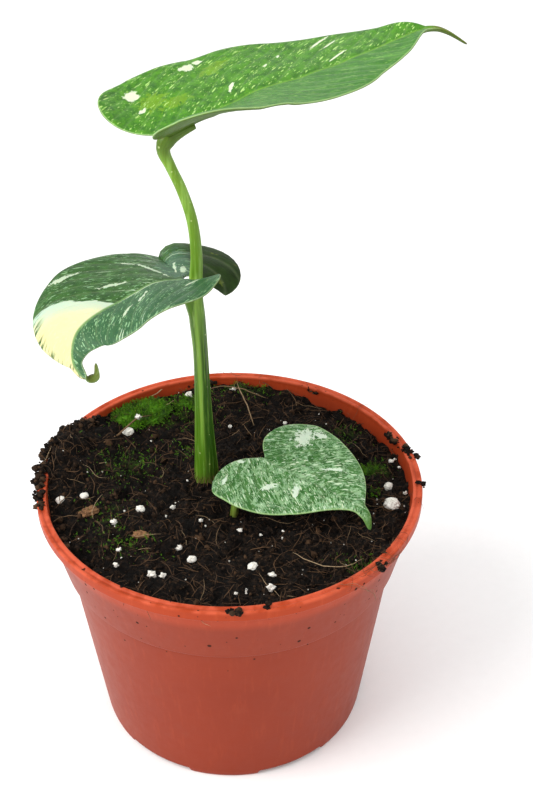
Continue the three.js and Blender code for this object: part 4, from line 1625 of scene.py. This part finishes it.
def leaf_object(name, leaf, rows, columns):
    """Blade with a top, an underside and a thin rounded margin, and its leaf coordinates as UV maps."""
    points, facts, faces, length = blade_grid(leaf, rows, columns)
    normals = surface_normals(points, faces)
    top, under = [], []
    for point, normal, (side, s, y, margin) in zip(points, normals, facts):
        inward = smooth(0, 3, margin)
        half = BLADE / 2 * mix(0.3, 1, math.sqrt(clamp(margin / 1.2)))
        fade = inward * smooth(length, length * 0.75, s)
        vein = math.cos(2 * math.pi * vein_place(s, y) / VEIN_GAP)
        sunk = 0.08 * fade * max(0, vein) ** 4
        arch = 0.12 * fade * (1 - vein) / 2 * smooth(1, 5, y)
        rib = math.exp(-((y / 0.9) ** 2)) * smooth(length, length * 0.6, s) * (s >= 0)
        wave = 0.35 * inward * noise.noise(Vector((s / 8, y / 8 * (1 - 2 * side), 1.5)))
        relief = arch - sunk + wave
        top.append(point + normal * (half + relief - 0.35 * rib))
        under.append(point - normal * (half - relief + 0.8 * rib))
    count = len(points)
    skin = list(faces) + [tuple(count + v for v in reversed(face)) for face in faces]
    open_edges = set()
    for face in faces:
        for a, b in zip(face, face[1:] + face[:1]):
            open_edges.add((a, b))
    for a, b in list(open_edges):
        if (b, a) not in open_edges:
            skin.append((b, a, count + a, count + b))
    made = mesh_object(name, top + under, skin)
    sign = [1 if side == 0 else -1 for side, *_ in facts] * 2
    facts = facts * 2
    uv_map(made.data, "Blade", [(s * MM, g * y * MM) for g, (_, s, y, _) in zip(sign, facts)])
    apart = 90
    veins = [(vein_place(s, y) * MM, (y + apart * (g < 0)) * MM) for g, (_, s, y, _) in zip(sign, facts)]
    uv_map(made.data, "Vein", veins)
    float_attribute(made, "margin", [margin for *_, margin in facts])
    float_attribute(made, "under", [0.0] * count + [1.0] * count)
    return made


def variegation_group():
    """Masks for sparkle, flecks, streaks along the veins and mottling of a variegated leaf."""
    tree, given, out = shader_group(
        "Variegation",
        [
            ("Blade", "NodeSocketVector", None),
            ("Vein", "NodeSocketVector", None),
            ("Sparkle Share", "NodeSocketFloat", 0.5),
            ("Fleck Share", "NodeSocketFloat", 0.4),
            ("Streak Share", "NodeSocketFloat", 0.3),
        ],
        [
            ("Sparkle", "NodeSocketFloat"),
            ("Flecks", "NodeSocketFloat"),
            ("Streaks", "NodeSocketFloat"),
            ("Mottle", "NodeSocketFloat"),
            ("Side Veins", "NodeSocketFloat"),
            ("Cells", "NodeSocketFloat"),
        ],
    )
    blade, vein = given["Blade"], given["Vein"]
    crowd = grain(tree, blade, 9, detail=2)
    share = maths(tree, "MULTIPLY", given["Sparkle Share"], step(tree, crowd, 0.25, 0.6))
    sparkle = 0.0
    for size, longer in ((0.8, 0.9), (1.1, 0.8), (1.5, 0.75), (2.2, 0.7)):
        drawn = add(tree, "ShaderNodeVectorMath", {0: vein, 1: (1.2, longer, 1)}, operation="MULTIPLY")
        one = use(tree, SPECKS, Place=drawn.outputs[0], Size=size, Share=share)["Mask"]
        sparkle = maths(tree, "MAXIMUM", sparkle, one)
    tree.links.new(sparkle, out.inputs["Sparkle"])
    small = grain(tree, vein, 1.1, detail=5, roughness=0.75, distortion=0.8, stretch=(1.3, 0.6, 1))
    level = maths(tree, "MULTIPLY_ADD", given["Fleck Share"], -0.32, 0.72)
    level = maths(tree, "SUBTRACT", level, maths(tree, "MULTIPLY", maths(tree, "SUBTRACT", crowd, 0.5), 0.25))
    over = maths(tree, "SUBTRACT", small, level)
    tree.links.new(step(tree, over, 0.0, 0.03), out.inputs["Flecks"])
    long = grain(tree, vein, 2.4, detail=6, roughness=0.65, distortion=0.4, stretch=(1.5, 0.22, 1))
    level = maths(tree, "MULTIPLY_ADD", given["Streak Share"], -0.3, 0.76)
    over = maths(tree, "SUBTRACT", long, level)
    tree.links.new(step(tree, over, 0.0, 0.03), out.inputs["Streaks"])
    mottle = grain(tree, blade, 3.0, detail=7, roughness=0.75)
    tree.links.new(step(tree, mottle, 0.35, 0.65), out.inputs["Mottle"])
    across = add(tree, "ShaderNodeSeparateXYZ", {"Vector": vein})
    turns = maths(tree, "MULTIPLY", across.outputs["X"], 2 * math.pi / (VEIN_GAP * MM))
    line = maths(tree, "POWER", maths(tree, "MULTIPLY_ADD", maths(tree, "COSINE", turns), 0.5, 0.5), 14)
    tree.links.new(line, out.inputs["Side Veins"])
    cells = add(tree, "ShaderNodeTexVoronoi", {"Vector": vein, "Scale": 1100.0}, feature="DISTANCE_TO_EDGE")
    tree.links.new(step(tree, cells.outputs["Distance"], 0.0, 0.12), out.inputs["Cells"])
    return tree


def patch_group():
    """Mask of one ragged patch on a leaf: an ellipse whose edge follows the cells."""
    tree, given, out = shader_group(
        "Patch",
        [
            ("Blade", "NodeSocketVector", None),
            ("Centre", "NodeSocketVector", (0, 0, 0)),
            ("Size", "NodeSocketVector", (1, 1, 1)),
            ("Turn", "NodeSocketFloat", 0.0),
            ("Ragged", "NodeSocketFloat", 0.5),
        ],
        [("Mask", "NodeSocketFloat")],
    )
    apart = add(tree, "ShaderNodeVectorMath", {0: given["Blade"], 1: given["Centre"]}, operation="SUBTRACT")
    turned = add(tree, "ShaderNodeVectorRotate", {"Vector": apart.outputs[0]}, rotation_type="Z_AXIS")
    tree.links.new(given["Turn"], turned.inputs["Angle"])
    scaled = add(tree, "ShaderNodeVectorMath", {0: turned.outputs[0], 1: given["Size"]}, operation="DIVIDE")
    distance = add(tree, "ShaderNodeVectorMath", {0: scaled.outputs[0]}, operation="LENGTH").outputs["Value"]
    torn = grain(tree, given["Blade"], 1.4, detail=5, roughness=0.7)
    reach = maths(tree, "MULTIPLY", given["Ragged"], 4.0)
    off = maths(tree, "MULTIPLY", maths(tree, "SUBTRACT", torn, 0.5), reach)
    mask = step(tree, maths(tree, "ADD", distance, off), 1.06, 0.94)
    tree.links.new(mask, out.inputs["Mask"])
    return tree


VARIEGATION = variegation_group()
PATCH = patch_group()


def patches(tree, blade, spots):
    """Joint mask of patches given as (s, y, half length, half width, turn in degrees, ragged)."""
    total = 0.0
    for s, y, long, wide, turn, ragged in spots:
        one = use(
            tree,
            PATCH,
            Blade=blade,
            Centre=(s * MM, y * MM, 0),
            Size=(long * MM, wide * MM, 1),
            Turn=math.radians(-turn),
            Ragged=ragged,
        )["Mask"]
        total = maths(tree, "MAXIMUM", total, one)
    return total


def leaf_start(name, sparkle_share, fleck_share, streak_share):
    """Material of a leaf with its coordinates and masks ready."""
    made, tree, shader = material(name)
    blade = add(tree, "ShaderNodeUVMap", uv_map="Blade").outputs[0]
    vein = add(tree, "ShaderNodeUVMap", uv_map="Vein").outputs[0]
    shares = dict(Sparkle_Share=sparkle_share, Fleck_Share=fleck_share, Streak_Share=streak_share)
    masks = use(tree, VARIEGATION, Blade=blade, Vein=vein, **shares)
    return made, tree, shader, blade, vein, masks


def leaf_finish(tree, shader, base, masks, vein, below, roughness=0.36):
    """Underside colour, waxy gloss and skin relief common to the leaves."""
    under = attribute(tree, "under")
    base = blend(tree, maths(tree, "MULTIPLY", masks["Side Veins"], 0.06), base, colour(196, 214, 160))
    base = blend(tree, maths(tree, "MULTIPLY", under, 0.85), base, below)
    fine = grain(tree, vein, 0.5, detail=3, stretch=(1, 0.4, 1))
    rough = maths(tree, "MULTIPLY_ADD", fine, 0.18, roughness)
    rough = maths(tree, "ADD", rough, maths(tree, "MULTIPLY", under, 0.2))
    relief = maths(tree, "ADD", maths(tree, "MULTIPLY", masks["Cells"], 0.35), fine)
    relief = maths(tree, "SUBTRACT", relief, maths(tree, "MULTIPLY", masks["Side Veins"], 0.8))
    surface(tree, shader, base, rough, relief, 0.06, Specular_IOR_Level=0.25, Subsurface_Weight=0.1)
    shader.inputs["Subsurface Scale"].default_value = 0.6 * MM
    shader.inputs["Coat Weight"].default_value = 0.06
    shader.inputs["Coat Roughness"].default_value = 0.25


def top_leaf_material():
    """Bright young green with white sparkles, a few white patches, an olive drip tip and a painted bluish sky
    sheen in streaks on the near half.
    """
    made, tree, shader, blade, vein, masks = leaf_start("leaf_bright", 1.0, 0.24, 0.2)
    apart = add(tree, "ShaderNodeSeparateXYZ", {"Vector": blade})
    s, y = apart.outputs["X"], apart.outputs["Y"]
    base = blend(tree, masks["Mottle"], colour(38, 96, 6), colour(78, 142, 14))
    # Painted reflection: the near half gets a bluish sheen in streaks, painted in like reflected sky.
    near = step(tree, y, 0.5 * MM, -0.5 * MM)
    lines = step(tree, grain(tree, vein, 1.6, detail=4, stretch=(1.4, 0.12, 1)), 0.5, 0.7)
    painted_sky_sheen = blend(tree, lines, colour(44, 108, 26), colour(110, 166, 82))
    base = blend(tree, maths(tree, "MULTIPLY", near, 0.6), base, painted_sky_sheen)
    pale = patches(
        tree,
        blade,
        [(1.6, 15.5, 4, 3.5, 0, 1.2), (23, 20.5, 4, 2.6, 20, 1.2), (7, 11, 4, 2.4, 0, 1.2)],
    )
    base = blend(tree, maths(tree, "MULTIPLY", pale, 0.5), base, colour(124, 164, 12))
    joint = patches(tree, blade, [(0, -5, 11, 4.6, 0, 0.2)])
    base = blend(tree, maths(tree, "MULTIPLY", joint, 0.8), base, colour(62, 92, 6))
    base = blend(tree, maths(tree, "MULTIPLY", masks["Flecks"], 0.6), base, colour(128, 184, 60))
    sparkle = maths(tree, "MULTIPLY", masks["Sparkle"], maths(tree, "MULTIPLY_ADD", near, -0.5, 0.85))
    base = blend(tree, sparkle, base, colour(176, 216, 120))
    base = blend(tree, maths(tree, "MULTIPLY", masks["Streaks"], 0.75), base, colour(186, 220, 140))
    white = patches(
        tree,
        blade,
        [
            (-2.4, 21.7, 2.3, 2.4, 20, 0.5),
            (17, 25.5, 2.4, 1.6, 10, 0.6),
            (21.2, 27, 1.5, 1.0, 0, 0.6),
            (-2.4, 13.4, 1.5, 0.9, 30, 0.8),
            (22.4, 6.8, 2.6, 0.6, 56, 0.5),
            (53.4, 16.6, 4.0, 0.55, 36, 0.5),
            (55.0, 13.0, 2.4, 0.4, 36, 0.6),
            (53.5, 4.2, 3.6, 0.35, 26, 0.5),
            (34, 12, 1.0, 0.5, 40, 0.8),
            (40, 16, 1.0, 0.6, 40, 0.8),
        ],
    )
    base = blend(tree, maths(tree, "MULTIPLY", white, 0.92), base, colour(216, 226, 196))
    rib = step(tree, maths(tree, "ABSOLUTE", y), 0.8 * MM, 0.2 * MM)
    rib = maths(tree, "MULTIPLY", rib, step(tree, s, -0.5 * MM, 1 * MM))
    base = blend(tree, maths(tree, "MULTIPLY", rib, 0.5), base, colour(124, 172, 56))
    edge = step(tree, attribute(tree, "margin"), 0.4, 0.05)
    base = blend(tree, maths(tree, "MULTIPLY", edge, 0.6), base, colour(176, 206, 140))
    tip = step(tree, s, 78 * MM, 84 * MM)
    base = blend(tree, tip, base, colour(100, 112, 12))
    base = blend(tree, step(tree, s, 91 * MM, 94 * MM), base, colour(112, 84, 40))
    leaf_finish(tree, shader, base, masks, vein, colour(66, 92, 8))
    return made


def left_leaf_material():
    """Deep green with mint flecks, a cream sector across the far half, a painted bluish sheen on the near
    half and painted shadow on the far back lobe.
    """
    made, tree, shader, blade, vein, masks = leaf_start("leaf_cream", 1.0, 0.4, 0.45)
    apart = add(tree, "ShaderNodeSeparateXYZ", {"Vector": blade})
    s, y = apart.outputs["X"], apart.outputs["Y"]
    base = blend(tree, masks["Mottle"], colour(26, 66, 16), colour(52, 98, 32))
    far = step(tree, y, 0.0, 0.6 * MM)
    # Painted reflection: the near half is tinted bluish green like reflected sky.
    base = blend(tree, maths(tree, "MULTIPLY_ADD", far, -0.7, 0.7), base, colour(46, 92, 58))
    joint = patches(tree, blade, [(-1, 10, 6, 9, 0, 0.6)])
    base = blend(tree, maths(tree, "MULTIPLY", joint, 0.6), base, colour(74, 108, 90))
    base = blend(tree, maths(tree, "MULTIPLY", masks["Flecks"], 0.6), base, colour(112, 158, 104))
    base = blend(tree, maths(tree, "MULTIPLY", masks["Sparkle"], 0.7), base, colour(150, 192, 142))
    base = blend(tree, maths(tree, "MULTIPLY", masks["Streaks"], 0.75), base, colour(196, 218, 186))
    bend = maths(tree, "MULTIPLY_ADD", y, -0.75, s)
    wobble = grain(tree, vein, 3, detail=5, stretch=(1, 0.4, 1))
    bend = maths(tree, "MULTIPLY_ADD", maths(tree, "SUBTRACT", wobble, 0.5), 6 * MM, bend)
    cream = maths(tree, "MULTIPLY", step(tree, bend, 20.6 * MM, 21.0 * MM), far)
    cream = maths(tree, "MULTIPLY", cream, step(tree, s, 54 * MM, 51 * MM))
    torn = step(tree, grain(tree, vein, 1.6, detail=6, roughness=0.7, stretch=(1.2, 0.3, 1)), 0.5, 0.56)
    outer = step(tree, attribute(tree, "margin"), 6.0, 1.0)
    cream = maths(tree, "MULTIPLY", cream, maths(tree, "SUBTRACT", 1.0, maths(tree, "MULTIPLY", torn, outer)))
    tone = blend(tree, step(tree, bend, 21.5 * MM, 27 * MM), colour(168, 198, 176), colour(212, 205, 148))
    inner = maths(tree, "MULTIPLY", step(tree, s, 38 * MM, 28 * MM), 0.5)
    tone = blend(tree, inner, tone, colour(204, 212, 184))
    tone = blend(tree, maths(tree, "MULTIPLY", masks["Flecks"], 0.5), tone, colour(178, 206, 176))
    base = blend(tree, cream, base, tone)
    white = patches(
        tree,
        blade,
        [
            (-2.6, 7, 0.7, 2.6, 15, 1.0),
            (-1.0, 10, 0.5, 3.0, 20, 1.0),
            (11.4, 19, 3.0, 0.4, 50, 1.0),
            (6.5, 11, 7.0, 0.5, 68, 1.0),
            (18, 9, 3.0, 0.7, 20, 1.2),
            (25.6, 22.6, 4.0, 0.7, 8, 1.2),
            (11, -0.6, 9, 0.4, 0, 0.6),
            (13.5, -5.5, 2.4, 0.4, -40, 1.2),
            (20.5, -8, 2.4, 0.5, -20, 1.2),
            (-1.5, -6.0, 2.4, 0.5, -20, 1.2),
        ],
    )
    base = blend(tree, maths(tree, "MULTIPLY", white, 0.85), base, colour(196, 214, 184))
    rib = step(tree, maths(tree, "ABSOLUTE", y), 0.7 * MM, 0.2 * MM)
    rib = maths(tree, "MULTIPLY", rib, step(tree, s, 0.0, MM))
    base = blend(tree, maths(tree, "MULTIPLY", rib, 0.5), base, colour(130, 170, 96))
    edge = step(tree, attribute(tree, "margin"), 0.35, 0.05)
    base = blend(tree, maths(tree, "MULTIPLY", edge, 0.5), base, colour(160, 186, 140))
    # Painted shadow: the far back lobe, shaded by the top leaf, is painted dark olive with dull spots.
    lobe = maths(tree, "MULTIPLY", step(tree, s, -3.5 * MM, -6 * MM), far)
    spots = step(tree, grain(tree, blade, 2.4, detail=5, roughness=0.6), 0.6, 0.66)
    painted_shade = blend(tree, masks["Mottle"], colour(20, 38, 4), colour(34, 58, 8))
    painted_shade = blend(tree, maths(tree, "MULTIPLY", spots, 0.7), painted_shade, colour(96, 108, 34))
    base = blend(tree, lobe, base, painted_shade)
    leaf_finish(tree, shader, base, masks, vein, colour(92, 104, 30))
    return made


def small_leaf_material():
    """Green densely speckled with white and mint, one white patch and a pale margin."""
    made, tree, shader, blade, vein, masks = leaf_start("leaf_mint", 1.4, 0.62, 0.45)
    s = add(tree, "ShaderNodeSeparateXYZ", {"Vector": blade}).outputs["X"]
    base = blend(tree, masks["Mottle"], colour(30, 78, 22), colour(60, 112, 46))
    base = blend(tree, maths(tree, "MULTIPLY", masks["Flecks"], 0.7), base, colour(142, 180, 132))
    blotch = step(tree, grain(tree, blade, 2.4, detail=6, roughness=0.8, distortion=0.5), 0.53, 0.57)
    base = blend(tree, maths(tree, "MULTIPLY", blotch, 0.55), base, colour(164, 198, 156))
    base = blend(tree, maths(tree, "MULTIPLY", masks["Sparkle"], 0.85), base, colour(196, 216, 182))
    base = blend(tree, maths(tree, "MULTIPLY", masks["Streaks"], 0.8), base, colour(200, 218, 192))
    white = patches(
        tree,
        blade,
        [
            (6.0, 13.5, 3.0, 3.4, 20, 1.3),
            (10.6, 17.0, 2.4, 1.2, 0, 1.2),
            (14.1, -5.5, 0.9, 2.4, 25, 0.9),
            (7.1, -8, 2.4, 0.7, 60, 1.2),
            (-6.4, -4.8, 1.6, 0.6, 0, 1.2),
            (-7.0, -13.0, 0.8, 1.8, 20, 1.2),
            (21, 7.5, 3.0, 0.5, 30, 1.2),
        ],
    )
    base = blend(tree, maths(tree, "MULTIPLY", white, 0.85), base, colour(206, 220, 200))
    edge = step(tree, attribute(tree, "margin"), 0.6, 0.1)
    base = blend(tree, maths(tree, "MULTIPLY", edge, 0.7), base, colour(160, 194, 128))
    tip = step(tree, s, 34 * MM, 39 * MM)
    base = blend(tree, maths(tree, "MULTIPLY", tip, 0.7), base, colour(72, 124, 30))
    leaf_finish(tree, shader, base, masks, vein, colour(104, 140, 62), roughness=0.4)
    return made


for name, leaf, rows, look, node_name, slot_name in (
    ("top_blade", LEAF_TOP, 150, top_leaf_material(), "leaf_top", "leaf_bright"),
    ("left_blade", LEAF_LEFT, 130, left_leaf_material(), "leaf_left", "leaf_cream"),
    ("small_blade", LEAF_SMALL, 100, small_leaf_material(), "leaf_small", "leaf_mint"),
):
    blade = leaf_object(name, leaf, rows, BLADE_COLUMNS)
    blade.data.materials.append(look)
    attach(blade, "root")
    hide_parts(node_name)


# Studio
# The pot stands on a plain white floor under a large soft light from the upper left, with a weak
# fill from the right. The camera looks down on it from the front.

FLOOR_REACH = 3000
FOCAL_LENGTH = 60.74
CAMERA_PLACE = (0.0114, -0.3288, 0.3471)
CAMERA_DOWN = 34.7


def floor_material():
    made, tree, shader = material("floor")
    place = object_place(tree)
    fine = grain(tree, place, 4, detail=4)
    base = blend(tree, fine, colour(250, 250, 250), colour(255, 255, 255))
    rough = maths(tree, "MULTIPLY_ADD", fine, 0.1, 0.75)
    surface(tree, shader, base, rough, fine, 0.01, Specular_IOR_Level=0.2)
    return made


def area_light(name, place, target, size, power, tone):
    data = bpy.data.lights.new(name, "AREA")
    data.shape = "DISK"
    data.size = size
    data.energy = power
    data.color = tone
    light = bpy.data.objects.new(name, data)
    light.location = place
    light.rotation_euler = (Vector(target) - Vector(place)).to_track_quat("-Z", "Y").to_euler()
    bpy.context.collection.objects.link(light)


floor_corners = [(x * FLOOR_REACH, y * FLOOR_REACH, 0) for x, y in ((-1, -1), (1, -1), (1, 1), (-1, 1))]
floor = mesh_object("floor", floor_corners, [(0, 1, 2, 3)])
floor.data.materials.append(floor_material())

area_light("key", (-0.7, -0.35, 0.8), (0, 0, 0.1), 0.8, 9, (1.0, 0.99, 0.97))
area_light("fill", (0.7, -0.5, 0.5), (0, 0, 0.1), 0.7, 0.8, (0.96, 0.98, 1.0))

world = bpy.data.worlds.new("studio")
world.use_nodes = True
world.node_tree.nodes["Background"].inputs["Color"].default_value = (1, 1, 1, 1)
world.node_tree.nodes["Background"].inputs["Strength"].default_value = 1.0
bpy.context.scene.world = world
bpy.context.scene.view_settings.view_transform = "Standard"

camera = bpy.data.objects.new("camera", bpy.data.cameras.new("camera"))
camera.data.lens = FOCAL_LENGTH
camera.data.sensor_width = 36
camera.data.clip_start = 0.01
camera.location = CAMERA_PLACE
camera.rotation_euler = (math.radians(90 - CAMERA_DOWN), 0, 0)
bpy.context.collection.objects.link(camera)
bpy.context.scene.camera = camera
